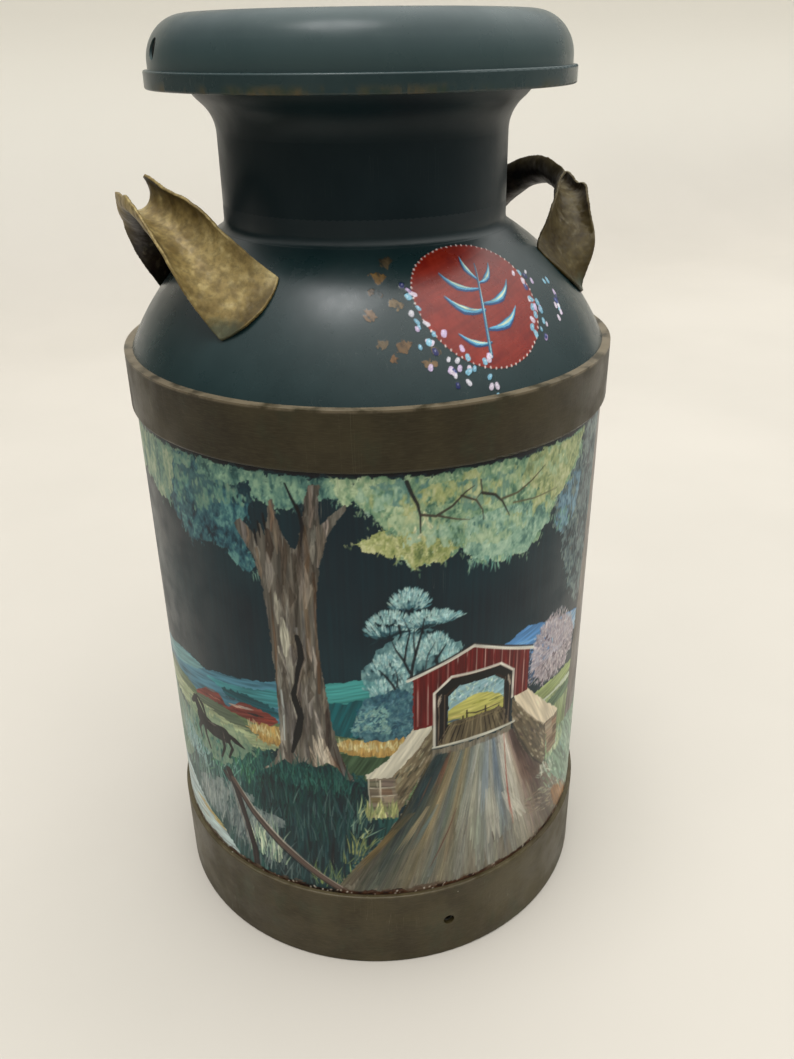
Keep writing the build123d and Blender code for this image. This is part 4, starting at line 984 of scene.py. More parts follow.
def spaced(fine, coarse, low, high):
    """Angles right round in degrees: fine steps between two limits and coarse ones elsewhere."""
    steps, angle = [], -180.0
    while angle < 180:
        gap = max(low - angle, angle - high, 0.0)
        steps.append(angle)
        angle += fine + (coarse - fine) * min(gap / 12, 1.0)
    steps = np.array(steps)
    return -180 + (steps + 180) * 360 / (angle + 180)


FILM = 0.22  # how far the paint stands off the steel
SEAM = -177.5  # where the lap seam's raised edge runs, in degrees
SEAM_REACH = 4.3  # how far to each side the paint rises over it


def wall_film():
    paint_wall()
    angles = spaced(PITCH / PER_DEGREE, 1.6, -112, 66)
    heights = np.linspace(WALL_LOW, WALL_HIGH, int((WALL_HIGH - WALL_LOW) / PITCH) + 2)
    deg, z = np.meshgrid(angles, heights)
    relief = np.clip(wall.at(deg * PER_DEGREE, z, wall.relief), 0, 0.25)
    seam = (wrapped(deg - SEAM) < SEAM_REACH) * 1.0
    radius = WALL_RADIUS + FILM + relief + seam
    colours = pigment(wall.at(deg * PER_DEGREE, z, wall.colour)).reshape(-1, 3)
    inner_radius = WALL_RADIUS + 0.04 + seam[[0, -1]]
    outer = turned(radius, deg, z)
    inner = turned(inner_radius, deg[[0, -1]], z[[0, -1]])
    painted = np.concatenate([colours, colours[:len(angles)], colours[-len(angles):]])
    film = shell_mesh("wall_painting", outer, inner, painted)
    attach(film, "can")
    return film


def wrapped(angle):
    """How far an angle in degrees is from nothing, either way round."""
    return np.abs((angle + 180) % 360 - 180)


def turned(radius, deg, z):
    a = np.radians(deg)
    return np.stack([radius * np.sin(a), -radius * np.cos(a), z * np.ones_like(a)], -1)


# ---- the badge and flecks brushed on the breast ----
DOME_RADIUS = 173.8
DOME_MIDDLE = (5.4, 372.0)  # the arc's centre: out from the axis, and up
BADGE = (7.1, 43.7)  # degrees round from the front, and degrees up the arc
BADGE_RADIUS = 42.0
NECK_RADIUS = 93.5
FILLET = 7.0  # the hollow between the breast and the neck
SPRING = 58.27  # degrees up the arc where that hollow starts
FILLET_MIDDLE = (100.5, 525.8)
FILM_FOOT = 23.6  # degrees up the arc where the film starts
NECK_CLIMB = 22  # how far the film climbs the neck
BADGE_SIDES = (-26, 40)  # degrees round the can between which its mesh is fine
BADGE_LOW, BADGE_HIGH = (-78, -66), (80, 54)  # corners of the badge's sheet, from the badge's middle


def bent(a, b, c):
    """Points along a smooth bend from a to c that leans towards b."""
    t = np.linspace(0, 1, 7)[:, None]
    a, b, c = (np.asarray(p, float) for p in (a, b, c))
    return a * (1 - t) ** 2 + 2 * b * t * (1 - t) + c * t * t


def petal(sheet, points, width):
    """One loaded brush stroke: dark blue at one side, pale blue over it and a cream light."""
    path = bent(*points)
    sheet.stroke(path, width, (30, 66, 106), taper=(0.3, 1, 0.08), opacity=1, streak=0.2, lift=0.12)
    sheet.stroke(path + (0.1 * width, 0.12 * width), width * 0.66, (92, 160, 190), taper=(0.2, 1, 0.1),
        opacity=0.95, streak=0.3, lift=0.1)
    sheet.stroke(path[1:-1] + (0.2 * width, 0.2 * width), width * 0.26, (206, 208, 168),
        taper=(0.2, 1, 0.1), opacity=0.85, dry=0.2)


def fleck(sheet, x, y, size, colour):
    lean = math.radians(80 + 25 * rng.normal())
    reach = np.array((math.cos(lean), math.sin(lean))) * size * 0.3
    spot = np.array((x, y))
    sheet.stroke([spot - reach, spot + reach], size, colour, taper=(1, 1, 0.9), opacity=0.95,
        streak=0.15, lift=0.14)
    sheet.stroke([spot, spot + reach + (0.3, 0.3)], size * 0.35, blended(colour, (236, 232, 236), 0.6),
        opacity=0.7)


def painted_badge():
    sheet = Sheet(BADGE_LOW, BADGE_HIGH, PITCH * 0.4, (30, 42, 44))
    for x, y in (
        (-55, 22), (-52, 4), (-62, 12), (-69, -3), (-58, -22), (-47, -34), (-41, -26), (-70, -20),
        (-46, 34), (-66, -30)
    ):
        ochre = varied(pick([(132, 96, 52), (112, 84, 54), (124, 100, 66), (98, 82, 60)]), 0.08)
        wide, lean = rng.uniform(3.4, 5.2), rng.uniform(0, 360)
        corners = np.radians(lean + np.array((0, 95, 150, 215, 290)))
        blot = np.stack([x + wide * np.cos(corners), y + wide * 0.9 * np.sin(corners)], -1)
        sheet.sponge(blot, [ochre * 0.6, ochre, ochre * 1.15], cell=3.5, ragged=3.5, gaps=0.3,
            opacity=0.85)
    turn = np.radians(np.linspace(0, 360, 72, endpoint=False))
    rim = np.stack([np.cos(turn), np.sin(turn)], -1) * BADGE_RADIUS
    sheet.patch(rim, (124, 46, 36), grain=20, streak=0.16, ragged=0.12, lift=0.07, long=20)
    sheet.sponge(rim * 0.97, [(100, 34, 28), (124, 46, 36), (138, 58, 46)], cell=14, ragged=2,
        opacity=0.35)
    for leaf, width in (
        (((-1, -6), (-16, -8), (-23, 6)), 6), (((1, 8), (-14, 8), (-19, 22)), 5),
        (((-3, -18), (12, -20), (22, -8)), 6.2), (((0, -2), (16, -4), (25, 10)), 5.6),
        (((4, 12), (12, 12), (18, 24)), 4.4), (((4, 14), (-2, 22), (0, 32)), 4.2),
        (((-5, -26), (-16, -28), (-24, -18)), 4.4)
    ):
        petal(sheet, leaf, width)
    sheet.stroke(bent((-8, -34), (-4, -8), (8, 26)), 2.2, (38, 84, 120), taper=(1, 0.8, 0.3), opacity=1)
    sheet.stroke(bent((-7.4, -32), (-3.4, -8), (8, 24)), 0.8, (150, 190, 192), taper=(1, 0.8, 0.3),
        opacity=0.9)
    for angle in turn:
        away = BADGE_RADIUS - 0.4 + rng.uniform(-0.3, 0.3)
        x, y = away * math.cos(angle), away * math.sin(angle)
        fleck(sheet, x, y, rng.uniform(0.9, 1.3), varied((198, 182, 176), 0.04))
    pale = [(204, 190, 204), (196, 176, 206), (132, 184, 204), (208, 204, 212), (172, 148, 186),
        (118, 168, 190)]
    dark = [(40, 44, 92), (52, 62, 116)]
    for low, high, inner, outer, count in (
        (148, 205, 41, 50, 13), (205, 262, 34, 60, 30), (-42, 24, 36, 50, 24), (-22, 2, 60, 74, 11)
    ):
        for _ in range(count):
            angle, away = math.radians(rng.uniform(low, high)), rng.uniform(inner, outer)
            tint = pick(dark) if rng.random() < 0.14 else pick(pale)
            fleck(sheet, away * math.cos(angle), away * math.sin(angle), rng.uniform(2.2, 3.4), tint)
    return sheet


def breast_film():
    """A thin skin of the same enamel over the breast that carries the badge."""
    sheet = painted_badge()
    step = PITCH * 0.8
    dome = np.radians(np.arange(FILM_FOOT, SPRING, math.degrees(step / DOME_RADIUS)))
    bend = np.radians(np.arange(180 + SPRING, 180, -math.degrees(step / FILLET)))
    climb = np.arange(FILLET_MIDDLE[1], FILLET_MIDDLE[1] + NECK_CLIMB, step)
    reach = np.concatenate([DOME_MIDDLE[0] + DOME_RADIUS * np.cos(dome),
        FILLET_MIDDLE[0] + FILLET * np.cos(bend), np.full(len(climb), NECK_RADIUS)])
    height = np.concatenate([DOME_MIDDLE[1] + DOME_RADIUS * np.sin(dome),
        FILLET_MIDDLE[1] + FILLET * np.sin(bend), climb])
    face = np.concatenate([np.stack([np.cos(dome), np.sin(dome)], -1),
        -np.stack([np.cos(bend), np.sin(bend)], -1), np.tile((1.0, 0.0), (len(climb), 1))])
    lift = np.concatenate([DOME_RADIUS * (dome - math.radians(BADGE[1])),
        np.full(len(bend) + len(climb), 99.0)])
    angles = spaced(math.degrees(step / 135), 1.6, *BADGE_SIDES)
    across = reach[:, None] * np.radians(angles - BADGE[0])[None, :]
    up = lift[:, None] + 0 * across
    within = (np.abs(across) < 77) & (up > BADGE_LOW[1] + 1) & (up < BADGE_HIGH[1] - 1)
    cover = np.where(within, sheet.at(across, up, sheet.painted), 0)
    relief = np.where(within, np.clip(sheet.at(across, up, sheet.relief), 0, 0.2), 0)
    sink = np.clip((height[-1] - height) / 20, 0, 1)
    skin = (0.55 * sink * sink * (3 - 2 * sink) - 0.37)[:, None] + relief

    def turn_up(rows, off):
        out, rise = reach[rows, None] + off * face[rows, :1], height[rows, None] + off * face[rows, 1:]
        return turned(out, angles[None, :] + 0 * out, rise)

    colours = np.concatenate([pigment(sheet.at(across, up, sheet.colour)), cover[..., None]],
        -1).reshape(-1, 4)
    flat = len(angles)
    rows = np.arange(len(reach))
    film = shell_mesh("breast_painting", turn_up(rows, skin), turn_up(rows[::8], -0.5 + 0 * skin[::8]),
        np.concatenate([colours, np.tile(colours[:1], (flat * len(rows[::8]), 1))]))
    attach(film, "can")
    return film


# ---- the handles, hammered by use ----
LATTICE = np.random.default_rng(8).random((24, 24, 24, 3)) * 2 - 1
SIDEWAYS = np.array((0.903, -0.430, -0.012))  # directions of the pulls
UPWARDS = np.array((0.207, 0.41, 0.889))
WELD_HEIGHT, WELD_FADE = 505, 22  # the straps keep their shape near their feet
PAINT_LINE = 487  # the breast's paint runs up the straps to about here


def crumple(points, cell, seed=0.0):
    """A smooth random push in three directions at each point, up to one each way."""
    place = points / cell + 7.7 * seed
    base = np.floor(place).astype(int)
    part = place - base
    part = part * part * (3 - 2 * part)
    total = np.zeros((len(points), 3))
    for corner in itertools.product((0, 1), repeat=3):
        weight = np.prod(np.where(corner, part, 1 - part), axis=1)
        at = (base + corner) % 24
        total += LATTICE[at[:, 0], at[:, 1], at[:, 2]] * weight[:, None]
    return total


def remeshed(node, cell):
    """A node's shape again with even small faces, as points in millimetres and faces."""
    mesh = nodes[node].data.copy()
    ghost = bpy.data.objects.new("ghost", mesh)
    bpy.context.scene.collection.objects.link(ghost)
    even = ghost.modifiers.new("even", "REMESH")
    even.mode = "VOXEL"
    even.voxel_size = cell * MM
    done = ghost.evaluated_get(bpy.context.evaluated_depsgraph_get()).to_mesh()
    points = np.empty(len(done.vertices) * 3)
    done.vertices.foreach_get("co", points)
    normals = np.empty(len(done.vertices) * 3)
    done.vertices.foreach_get("normal", normals)
    faces = [tuple(p.vertices) for p in done.polygons]
    ghost.to_mesh_clear()
    bpy.data.objects.remove(ghost)
    bpy.data.meshes.remove(mesh)
    return points.reshape(-1, 3) / MM, normals.reshape(-1, 3), faces


def worn_handle(node, pulls, shade):
    """A bent strap with dents, uneven edges and worn, streaky paint, with painted shade on the faces
    turned in towards the loop; shade scales its colours as painted light and shade.
    """
    points, normals, faces = remeshed(node, 0.65)
    foot = np.clip((points[:, 2] - WELD_HEIGHT) / WELD_FADE, 0.25, 1)[:, None]
    moved = points + foot * (0.9 * crumple(points, 17, 1) + 0.3 * crumple(points, 6, 2))
    moved = moved + 0.16 * crumple(points, 2.6, 3)
    for centre, reach, across, up in pulls:
        near = np.exp(-((points - centre) ** 2).sum(1) / (2 * reach ** 2))[:, None]
        moved = moved + near * (across * SIDEWAYS + up * UPWARDS)
    # Painted shade: faces turned in towards the loop's middle are given a dark brown.
    inwards = points.mean(0) - (0, 0, 8) - points
    inwards /= np.linalg.norm(inwards, axis=1)[:, None]
    unshaded_side = np.clip(0.55 - 1.3 * (normals * inwards).sum(1), 0, 1)
    broad, middle = crumple(points, 13, 4)[:, 0], crumple(points, 5, 5)[:, 0]
    fine = crumple(points, 1.8, 6)[:, 0]
    blotch = broad + 0.6 * middle + 0.4 * fine
    along = crumple(points * (1, 1, 0.16), 3.2, 7)[:, 0]
    tone = np.clip(0.5 + 0.26 * blotch + 0.16 * along, 0, 1)[:, None]
    # shade scales the strap's colours as painted light and shade: above one lighter, below one darker.
    dark, tan, pale = (np.array(c, float) * shade
        for c in ((76, 62, 38), (126, 110, 72), (168, 154, 112)))
    colour = np.where(tone < 0.6, dark + (tan - dark) * tone / 0.6,
        tan + (pale - tan) * (tone - 0.6) / 0.4)
    # The dark brown of the painted shade on the inward faces.
    inner = np.array((44, 37, 26)) * (0.8 + 0.4 * tone)
    colour = inner * (1 - unshaded_side[:, None]) + colour * unshaded_side[:, None]
    low = np.clip((PAINT_LINE - points[:, 2]) / 7 + 0.6 * blotch, 0, 1)[:, None] * 0.7
    colour = colour * (1 - low) + np.array((62, 70, 62)) * low
    piece = new_mesh(node + "_worn", moved * MM, faces, pigment(colour))
    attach(piece, "can")
    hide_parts(node)
    return piece


# ---- materials ----
class Look:
    """A small helper that wires up one material's nodes."""

    def __init__(self, name):
        self.material = bpy.data.materials.new(name)
        self.material.use_nodes = True
        self.tree = self.material.node_tree
        self.tree.nodes.clear()
        self.out = self.tree.nodes.new("ShaderNodeOutputMaterial")
        self.shader = self.tree.nodes.new("ShaderNodeBsdfPrincipled")
        self.link(self.shader.outputs[0], self.out.inputs[0])
        self.place = self.tree.nodes.new("ShaderNodeTexCoord").outputs["Object"]

    def link(self, source, target):
        self.tree.links.new(source, target)

    def put(self, node, socket, value):
        if hasattr(value, "is_output"):
            self.link(value, node.inputs[socket])
        else:
            node.inputs[socket].default_value = value

    def node(self, kind, **sockets):
        """A new node, with each named input linked or set."""
        node = self.tree.nodes.new("ShaderNode" + kind)
        for socket, value in sockets.items():
            self.put(node, socket, value)
        return node

    def noise(self, scale, stretch=(1, 1, 1), detail=4.0, rough=0.55, warp=0.0, shift=0.0, spin=0.0):
        place = self.node("Mapping", Vector=self.place, Scale=stretch, Rotation=(0, spin, spin),
            Location=(shift, shift * 0.7, shift * 1.3))
        return self.node("TexNoise", Vector=place.outputs[0], Scale=scale, Detail=detail,
            Roughness=rough, Distortion=warp).outputs[0]

    def cells(self, scale, feature="F1"):
        node = self.node("TexVoronoi", Vector=self.place, Scale=scale)
        node.feature = feature
        return node.outputs["Distance"]

    def ramp(self, value, low, high, to_low=0.0, to_high=1.0):
        """A smooth step from one value to another, between two levels."""
        node = self.node("MapRange", Value=value)
        node.interpolation_type = "SMOOTHSTEP"
        for socket, number in (
            ("From Min", low), ("From Max", high), ("To Min", to_low), ("To Max", to_high)
        ):
            self.put(node, socket, number)
        return node.outputs[0]

    def math(self, operation, a, b=0.0):
        node = self.node("Math")
        node.operation = operation
        self.put(node, 0, a)
        self.put(node, 1, b)
        return node.outputs[0]

    def times(self, a, b):
        return self.math("MULTIPLY", a, b)

    def plus(self, a, b):
        return self.math("ADD", a, b)

    def cloud(self, scale, low, high, to_low=0.0, to_high=1.0, **noise):
        """Noise, ramped between two levels."""
        return self.ramp(self.noise(scale, **noise), low, high, to_low, to_high)

    def over(self, under, colour, mask, strength):
        """A colour laid over another through a mask."""
        return self.mix(self.times(mask, strength), under, colour)

    def mix(self, amount, a, b, blend="MIX"):
        node = self.node("Mix")
        node.data_type = "RGBA"
        node.blend_type = blend
        self.put(node, 0, amount)
        self.put(node, 6, a if hasattr(a, "is_output") else (*a, 1))
        self.put(node, 7, b if hasattr(b, "is_output") else (*b, 1))
        return node.outputs[2]

    def axis(self, name):
        return self.node("SeparateXYZ", Vector=self.place).outputs[name]

    def attribute(self, name):
        node = self.node("VertexColor")
        node.layer_name = name
        return node.outputs["Color"], node.outputs["Alpha"]

    def bump(self, height, strength, distance, normal=None):
        node = self.node("Bump", Height=height, Strength=strength, Distance=distance)
        if normal is not None:
            self.link(normal, node.inputs["Normal"])
        return node.outputs[0]

    def finish(self, colour, roughness, normal=None, metallic=0.0, specular=0.5):
        self.put(self.shader, "Base Color", colour if hasattr(colour, "is_output") else (*colour, 1))
        for socket, value in (
            ("Roughness", roughness), ("Metallic", metallic), ("Specular IOR Level", specular)
        ):
            self.put(self.shader, socket, value)
        if normal is not None:
            self.link(normal, self.shader.inputs["Normal"])
        return self.material


def rgb(r, g, b):
    return tuple((float(v) for v in linear((r, g, b))))


def scratches(look, scale, spin, rarity, shift=0.0):
    """Thin, sparse hairlines in one direction, as a mask."""
    line = look.noise(scale, (1, 1, 0.03), detail=1, spin=spin, shift=shift)
    thin = look.ramp(look.math("ABSOLUTE", look.math("SUBTRACT", line, 0.5)), 0.0, 0.004, 1, 0)
    place = look.cloud(14, rarity, rarity + 0.06, shift=shift + 3)
    return look.times(thin, place)


def wall_material():
    look = Look("wall_painting_paint")
    paint, _ = look.attribute("paint")
    grime = look.cloud(9, 0.35, 0.75, detail=6)
    colour = look.mix(look.times(grime, 0.16), paint, rgb(70, 66, 56), "MULTIPLY")
    marks = look.math("MAXIMUM", scratches(look, 260, 0.4, 0.6), scratches(look, 300, -0.7, 0.64, 5))
    colour = look.over(colour, rgb(120, 122, 112), marks, 0.35)
    rough = look.plus(look.cloud(45, 0.3, 0.7, 0.3, 0.44, detail=5), look.times(marks, 0.2))
    brush = look.noise(900, (1, 1, 0.35), detail=3)
    normal = look.bump(look.noise(60, detail=3), 0.12, 0.0006, look.bump(brush, 0.25, 0.00015))
    return look.finish(colour, rough, normal, specular=0.28)


def enamel(name, base, haze):
    """Old brushed enamel: uneven depth, rubbed haze, hairlines and pin chips."""
    look = Look(name)
    shade = look.cloud(8, 0.36, 0.74, detail=6, rough=0.62)
    colour = look.mix(shade, base, haze)
    brushed = look.cloud(90, 0.42, 0.72, 0, 0.16, stretch=(1, 1, 0.12), detail=3, warp=0.4)
    colour = look.mix(brushed, colour, haze)
    marks = look.math("MAXIMUM", scratches(look, 210, 0.5, 0.58), scratches(look, 240, -0.9, 0.6, 7))
    chips = look.times(look.ramp(look.cells(70), 0.02, 0.05, 1, 0), look.cloud(24, 0.6, 0.64, shift=9))
    colour = look.over(colour, SCUFF, marks, 0.3)
    colour = look.over(colour, SCUFF, chips, 0.75)
    rough = look.cloud(26, 0.3, 0.7, 0.23, 0.34, detail=6, rough=0.65)
    rough = look.plus(rough, look.times(marks, 0.2))
    normal = look.bump(look.noise(700, detail=2), 0.08, 0.0002, look.bump(look.noise(22, detail=3),
        0.08, 0.002))
    return look, colour, rough, normal


TEAL = (0.005, 0.0185, 0.02)
TEAL_HAZE = (0.015, 0.0345, 0.036)
LID_TEAL = (0.019, 0.038, 0.04)
LID_HAZE = (0.034, 0.056, 0.057)
# The lighter teal of the lid side's painted light.
LID_SIDE_LIGHT = (0.064, 0.098, 0.098)
# The neck's painted shade: a darker copy of the teal and its haze.
SHADED_TEAL = (0.0025, 0.011, 0.0145)
SHADED_HAZE = (0.0075, 0.019, 0.023)
SCUFF = (0.16, 0.17, 0.155)
# Heights between which the breast's enamel turns into the neck's painted shade.
SHADE_LOW, SHADE_HIGH = 0.512, 0.534  # heights between which the breast's enamel turns into the neck's


def dark_paint():
    look, colour, rough, normal = enamel("dark_enamel", TEAL, TEAL_HAZE)
    return look.finish(colour, rough, normal, specular=0.4)


def lid_paint():
    look, colour, rough, normal = enamel("lid_enamel", LID_TEAL, LID_HAZE)
    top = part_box("lid_umbrella")[1].z
    # Painted light: the lid's side, below its top, is mixed towards a lighter teal.
    side = look.ramp(look.axis("Z"), top - 0.03, top - 0.008, 0.6, 0)
    colour = look.mix(side, colour, LID_SIDE_LIGHT)
    return look.finish(colour, look.plus(rough, 0.03), normal, specular=0.22)


def neck_paint():
    """The same enamel, darker as painted shade, and duller."""
    look, colour, rough, normal = enamel("neck_enamel", SHADED_TEAL, SHADED_HAZE)
    return look.finish(colour, look.plus(rough, 0.12), normal, specular=0.22)


def badge_paint():
    look, colour, rough, normal = enamel("breast_painting_paint", TEAL, TEAL_HAZE)
    paint, cover = look.attribute("paint")
    mottled = look.mix(look.cloud(60, 0.3, 0.7, 0, 0.25, detail=5), paint, (0.05, 0.03, 0.03),
        "MULTIPLY")
    # Towards the neck the enamel turns into the neck's painted shade.
    higher = look.ramp(look.axis("Z"), SHADE_LOW, SHADE_HIGH)
    colour = look.mix(higher, colour, look.mix(look.cloud(8, 0.36, 0.74, detail=6), SHADED_TEAL,
        SHADED_HAZE))
    rough = look.plus(rough, look.times(higher, 0.22))
    nicks = look.times(look.ramp(look.cells(120), 0.02, 0.05, 1, 0), 0.5)
    return look.finish(look.mix(look.math("SUBTRACT", cover, nicks), colour, mottled), rough, normal,
        specular=0.4)


def lid_band_paint():
    """The lid's rolled edge: the same enamel, with rust and ochre showing along the bottom."""
    look, colour, rough, normal = enamel("lid_band_enamel", LID_TEAL, LID_HAZE)
    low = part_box("lid_rim_band")[0].z
    height = look.axis("Z")
    near = look.ramp(height, low + 0.001, low + 0.0065, 1, 0)
    patchy = look.cloud(38, 0.44, 0.6, stretch=(1, 1, 0.5), detail=6, rough=0.7)
    worn = look.times(near, patchy)
    tint = look.mix(look.cloud(55, 0.4, 0.6, detail=4, shift=4), rgb(88, 78, 50), rgb(46, 58, 42))
    colour = look.over(colour, tint, worn, 0.85)
    rough = look.plus(rough, look.times(worn, 0.15))
    return look.finish(colour, rough, normal, specular=0.34)


def hoop_paint(name, top, light=1.0, rub_and_highlight=0.85):
    """Bronze-brown paint over a steel band, mottled with green, with a painted highlight and rubbed wear
    along its top edge; light above one makes a lighter copy as painted light.
    """
    look = Look(name)
    # light scales these colours; above one it makes a lighter copy, as painted light.
    dark = (0.02 * light, 0.014 * light, 0.004 * light)
    mid = (0.044 * light, 0.034 * light, 0.013 * light)
    colour = look.mix(look.cloud(16, 0.32, 0.7, detail=7, rough=0.65), dark, mid)
    green = look.cloud(34, 0.52, 0.7, 0, 0.55, stretch=(1, 1, 0.6), detail=6, rough=0.7, shift=3)
    colour = look.mix(green, colour, (0.026 * light, 0.032 * light, 0.014 * light))
    brushed = look.cloud(150, 0.4, 0.75, 0, 0.3, stretch=(1, 1, 12), detail=2, shift=1)
    colour = look.mix(brushed, colour, (0.075 * light, 0.06 * light, 0.03 * light))
    height = look.axis("Z")
    # Along the top edge: a painted highlight, mixed with rubbed wear.
    rubbed = look.times(look.ramp(height, top - 0.0022, top - 0.0006),
        look.cloud(60, 0.36, 0.56, detail=5, shift=6))
    colour = look.mix(look.times(rubbed, rub_and_highlight), colour, (0.17, 0.135, 0.085))
    marks = look.math("MAXIMUM", scratches(look, 190, 0.6, 0.57), scratches(look, 230, -1.1, 0.6, 7))
    specks = look.times(look.ramp(look.cells(85), 0.03, 0.07, 1, 0),
        look.cloud(20, 0.56, 0.62, shift=8))
    colour = look.over(colour, (0.22, 0.2, 0.14), marks, 0.4)
    colour = look.over(colour, (0.3, 0.28, 0.22), specks, 0.8)
    rough = look.cloud(40, 0.3, 0.7, 0.36, 0.55, detail=6)
    normal = look.bump(look.noise(420, detail=4), 0.25, 0.0003, look.bump(look.noise(30, detail=4),
        0.15, 0.0015))
    return look.finish(colour, rough, normal, metallic=0.1, specular=0.34)


def handle_paint():
    look = Look("handle_worn_paint")
    paint, _ = look.attribute("paint")
    colour = look.mix(look.cloud(260, 0.35, 0.7, 0, 0.5, detail=5, rough=0.7), paint,
        (0.045, 0.036, 0.018))
    streak = look.cloud(120, 0.6, 0.74, 0, 0.3, stretch=(1, 1, 0.25), detail=4, shift=2)
    colour = look.mix(streak, colour, (0.26, 0.22, 0.14))
    rough = look.cloud(90, 0.3, 0.7, 0.38, 0.62, detail=5)
    normal = look.bump(look.noise(380, detail=4), 0.35, 0.0004, look.bump(look.noise(90, detail=3),
        0.25, 0.001))
    return look.finish(colour, rough, normal, metallic=0.15, specular=0.25)


def tinned_steel():
    """Dull tinned sheet, with grey bloom, light rust and a few hairlines."""
    look = Look("tinned_steel")
    bloom = look.cloud(18, 0.35, 0.7, detail=7, rough=0.65)
    colour = look.mix(bloom, (0.3, 0.29, 0.27), (0.46, 0.45, 0.42))
    spangle = look.ramp(look.cells(110, feature="SMOOTH_F1"), 0.1, 0.6, 0, 0.25)
    colour = look.mix(spangle, colour, (0.24, 0.235, 0.22))
    rust = look.cloud(26, 0.6, 0.72, 0, 0.8, detail=8, rough=0.72, shift=5)
    colour = look.mix(rust, colour, (0.16, 0.085, 0.045))
    marks = scratches(look, 200, 0.5, 0.55)
    colour = look.over(colour, (0.6, 0.59, 0.56), marks, 0.5)
    rough = look.plus(look.cloud(50, 0.3, 0.7, 0.34, 0.5, detail=6), look.times(rust, 0.3))
    metal = look.math("SUBTRACT", 0.85, look.times(rust, 0.8))
    normal = look.bump(look.noise(260, detail=4), 0.18, 0.0003)
    return look.finish(colour, rough, normal, metallic=metal, specular=0.5)


def dress(node, material):
    mesh = nodes[node].data
    mesh.materials.clear()
    mesh.materials.append(material)


wall_film().data.materials.append(wall_material())
breast_film().data.materials.append(badge_paint())
handle_look = handle_paint()
LEFT_PULLS = (((-140.7, 0.0, 555.2), 9, -3.2, 3.5), ((-160.5, 3.1, 551.0), 8, 2.8, -3.7),
    ((-126.7, -38.0, 540.5), 12, 1.6, 2.8))
RIGHT_PULLS = (((161.5, 3.1, 553.0), 10, 0.0, -5.2), ((158.5, -16.0, 548.0), 10, -1.6, -12.0),
    ((153.0, -42.0, 533.5), 10, -2.3, -4.7), ((160.0, 18.0, 548.0), 9, 0.0, -8.3),
    ((148.4, -55.0, 520.9), 11, -3.6, 0.0), ((140.0, 4.4, 555.5), 13, -1.0, -0.6),
    ((132.6, -27.9, 548.6), 8, 4.0, -1.1), ((137.7, -13.9, 538.1), 10, 2.0, -4.3))
# The left strap is painted lighter and the right one darker, as painted light and shade.
worn_handle("left_handle", LEFT_PULLS, 1.15).data.materials.append(handle_look)
worn_handle("right_handle", RIGHT_PULLS, 0.66).data.materials.append(handle_look)
enamel_look, steel_look = dark_paint(), tinned_steel()
dress("breast", enamel_look)
neck_look, lid_look = neck_paint(), lid_paint()
for node in ("neck", "mouth_bowl"):
    dress(node, neck_look)
for node in ("lid_umbrella", "lid_handle"):
    dress(node, lid_look)
dress("lid_rim_band", lid_band_paint())
dress("breast_hoop", hoop_paint("breast_hoop_paint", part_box("breast_hoop")[1].z))
# The bottom hoop: a lighter copy of the paint as painted light, with less of the top edge's painted
# highlight and wear.
dress("bottom_hoop", hoop_paint("bottom_hoop_paint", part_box("bottom_hoop")[1].z, 1.4, 0.15))
for node in ("body_shell", "bottom_head", "mouth_rim_wire", "lid_plug", "lid_rivets"):
    dress(node, steel_look)


# ---- floor, light and camera ----
def make_floor():
    """A pale table top that sweeps up behind, painted dark at the front and the left as painted shade."""
    bend, back, wide, high = 0.7, 1.7, 7.0, 1.7
    profile = [(-7.0, 0.0), (back, 0.0)]
    for turn in np.radians(np.arange(6, 91, 6)):
        profile.append((back + bend * math.sin(turn), bend * (1 - math.cos(turn))))
    profile.append((back + bend, high))
    points = [(side * wide, y, z) for y, z in profile for side in (-1, 1)]
    faces = [(2 * i, 2 * i + 1, 2 * i + 3, 2 * i + 2) for i in range(len(profile) - 1)]
    floor = new_mesh("floor", points, faces)
    look = Look("floor_pale")
    cloud = look.cloud(1.3, 0.3, 0.7, detail=5)
    tone = look.mix(cloud, (0.436, 0.405, 0.36), (0.467, 0.433, 0.386))
    tone = look.mix(look.ramp(look.axis("Z"), 0.02, 0.7), tone, (0.89, 0.85, 0.77))
    # Painted shade: darker towards the left, and darker still towards the front.
    tone = look.mix(look.ramp(look.axis("X"), -1.8, -0.4, 1, 0), tone, (0.24, 0.225, 0.2))
    tone = look.mix(look.ramp(look.axis("Y"), -1.6, -0.7, 1, 0), tone, (0.11, 0.1, 0.09))
    floor.data.materials.append(look.finish(tone, 0.6, specular=0.3))


def make_light(name, heading, climb, spread, strength):
    """A wide soft ceiling of light, far off: where it lies, how wide it is in degrees and how strong."""
    data = bpy.data.lights.new(name, "SUN")
    data.angle = math.radians(spread)
    data.energy = strength
    light = bpy.data.objects.new(name, data)
    bpy.context.scene.collection.objects.link(light)
    turn, rise = math.radians(heading), math.radians(climb)
    towards = Vector((math.sin(turn) * math.cos(rise), -math.cos(turn) * math.cos(rise),
        math.sin(rise)))
    light.location = towards * 3
    light.rotation_mode = "QUATERNION"
    light.rotation_quaternion = towards.to_track_quat("Z", "Y")


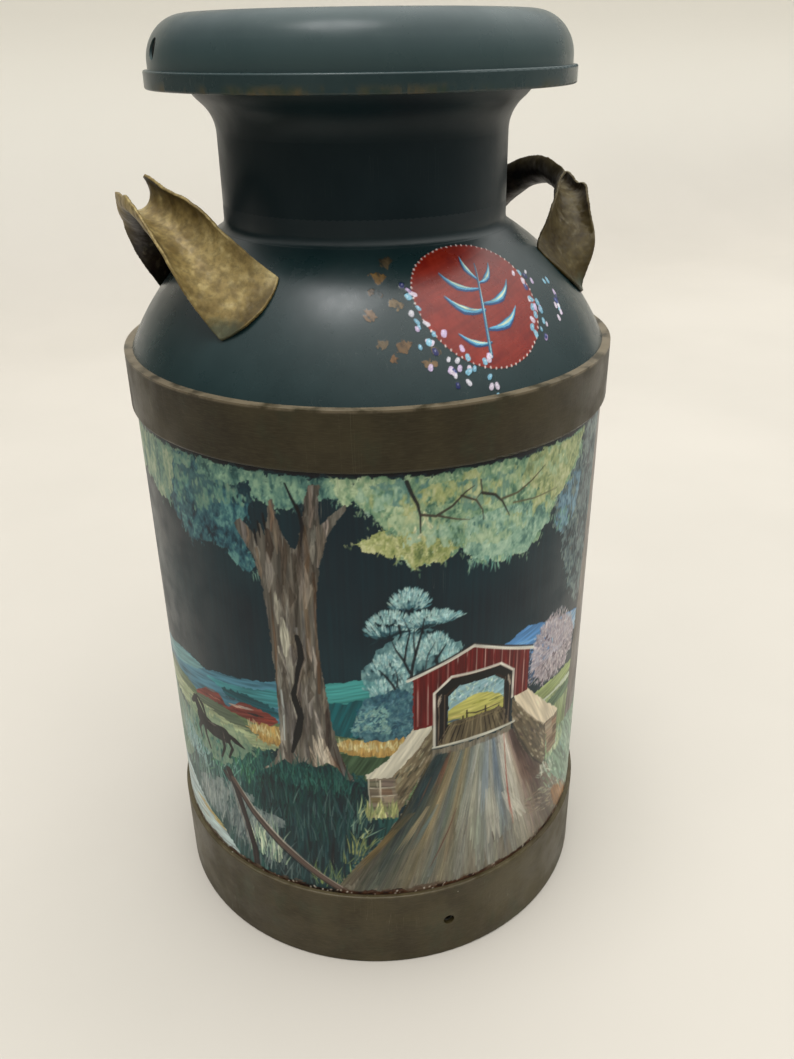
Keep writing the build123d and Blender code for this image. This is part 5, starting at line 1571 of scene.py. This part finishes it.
def make_world():
    """A soft ceiling of light: dim at the horizon and brightest overhead."""
    world = bpy.data.worlds.new("studio")
    bpy.context.scene.world = world
    world.use_nodes = True
    tree = world.node_tree
    height = tree.nodes.new("ShaderNodeSeparateXYZ")
    tree.links.new(tree.nodes.new("ShaderNodeTexCoord").outputs["Generated"], height.inputs[0])

    def work_out(operation, *values):
        node = tree.nodes.new("ShaderNodeMath")
        node.operation = operation
        for socket, value in enumerate(values):
            if hasattr(value, "is_output"):
                tree.links.new(value, node.inputs[socket])
            else:
                node.inputs[socket].default_value = value
        return node.outputs[0]

    squared = work_out("POWER", work_out("MAXIMUM", height.outputs["Z"], 0.0), 2.0)
    overhead = work_out("MULTIPLY_ADD", squared, 3.0, 0.2)
    aside = work_out("MULTIPLY_ADD", height.outputs["X"], 0.52, 0.88)
    back = tree.nodes["Background"]
    back.inputs["Color"].default_value = (0.99, 1.0, 0.97, 1)
    tree.links.new(work_out("MULTIPLY", overhead, aside), back.inputs["Strength"])


def make_camera():
    """Stands to the left of the can's front at about lid height, turned towards it and looking down."""
    place = Vector((-0.26508, -0.60965, 0.62882))
    heading, down, roll = math.radians(25.08), math.radians(27.3), math.radians(-0.79)
    forward = Vector((math.sin(heading) * math.cos(down), math.cos(heading) * math.cos(down),
        -math.sin(down)))
    right = Vector((math.cos(heading), -math.sin(heading), 0))
    up = right.cross(forward)
    right, up = (math.cos(roll) * right + math.sin(roll) * up,
        math.cos(roll) * up - math.sin(roll) * right)
    data = bpy.data.cameras.new("camera")
    data.sensor_width = 36
    data.lens = 32.3286  # millimetres
    data.clip_start, data.clip_end = (0.05, 100)
    camera = bpy.data.objects.new("camera", data)
    bpy.context.scene.collection.objects.link(camera)
    turn = Matrix((right, up, -forward)).transposed().to_4x4()
    camera.matrix_world = Matrix.Translation(place) @ turn
    bpy.context.scene.camera = camera


make_floor()
make_world()
make_light("overhead", -75, 80, 26, 1.4)
make_camera()
bpy.context.scene.view_settings.view_transform = "Standard"
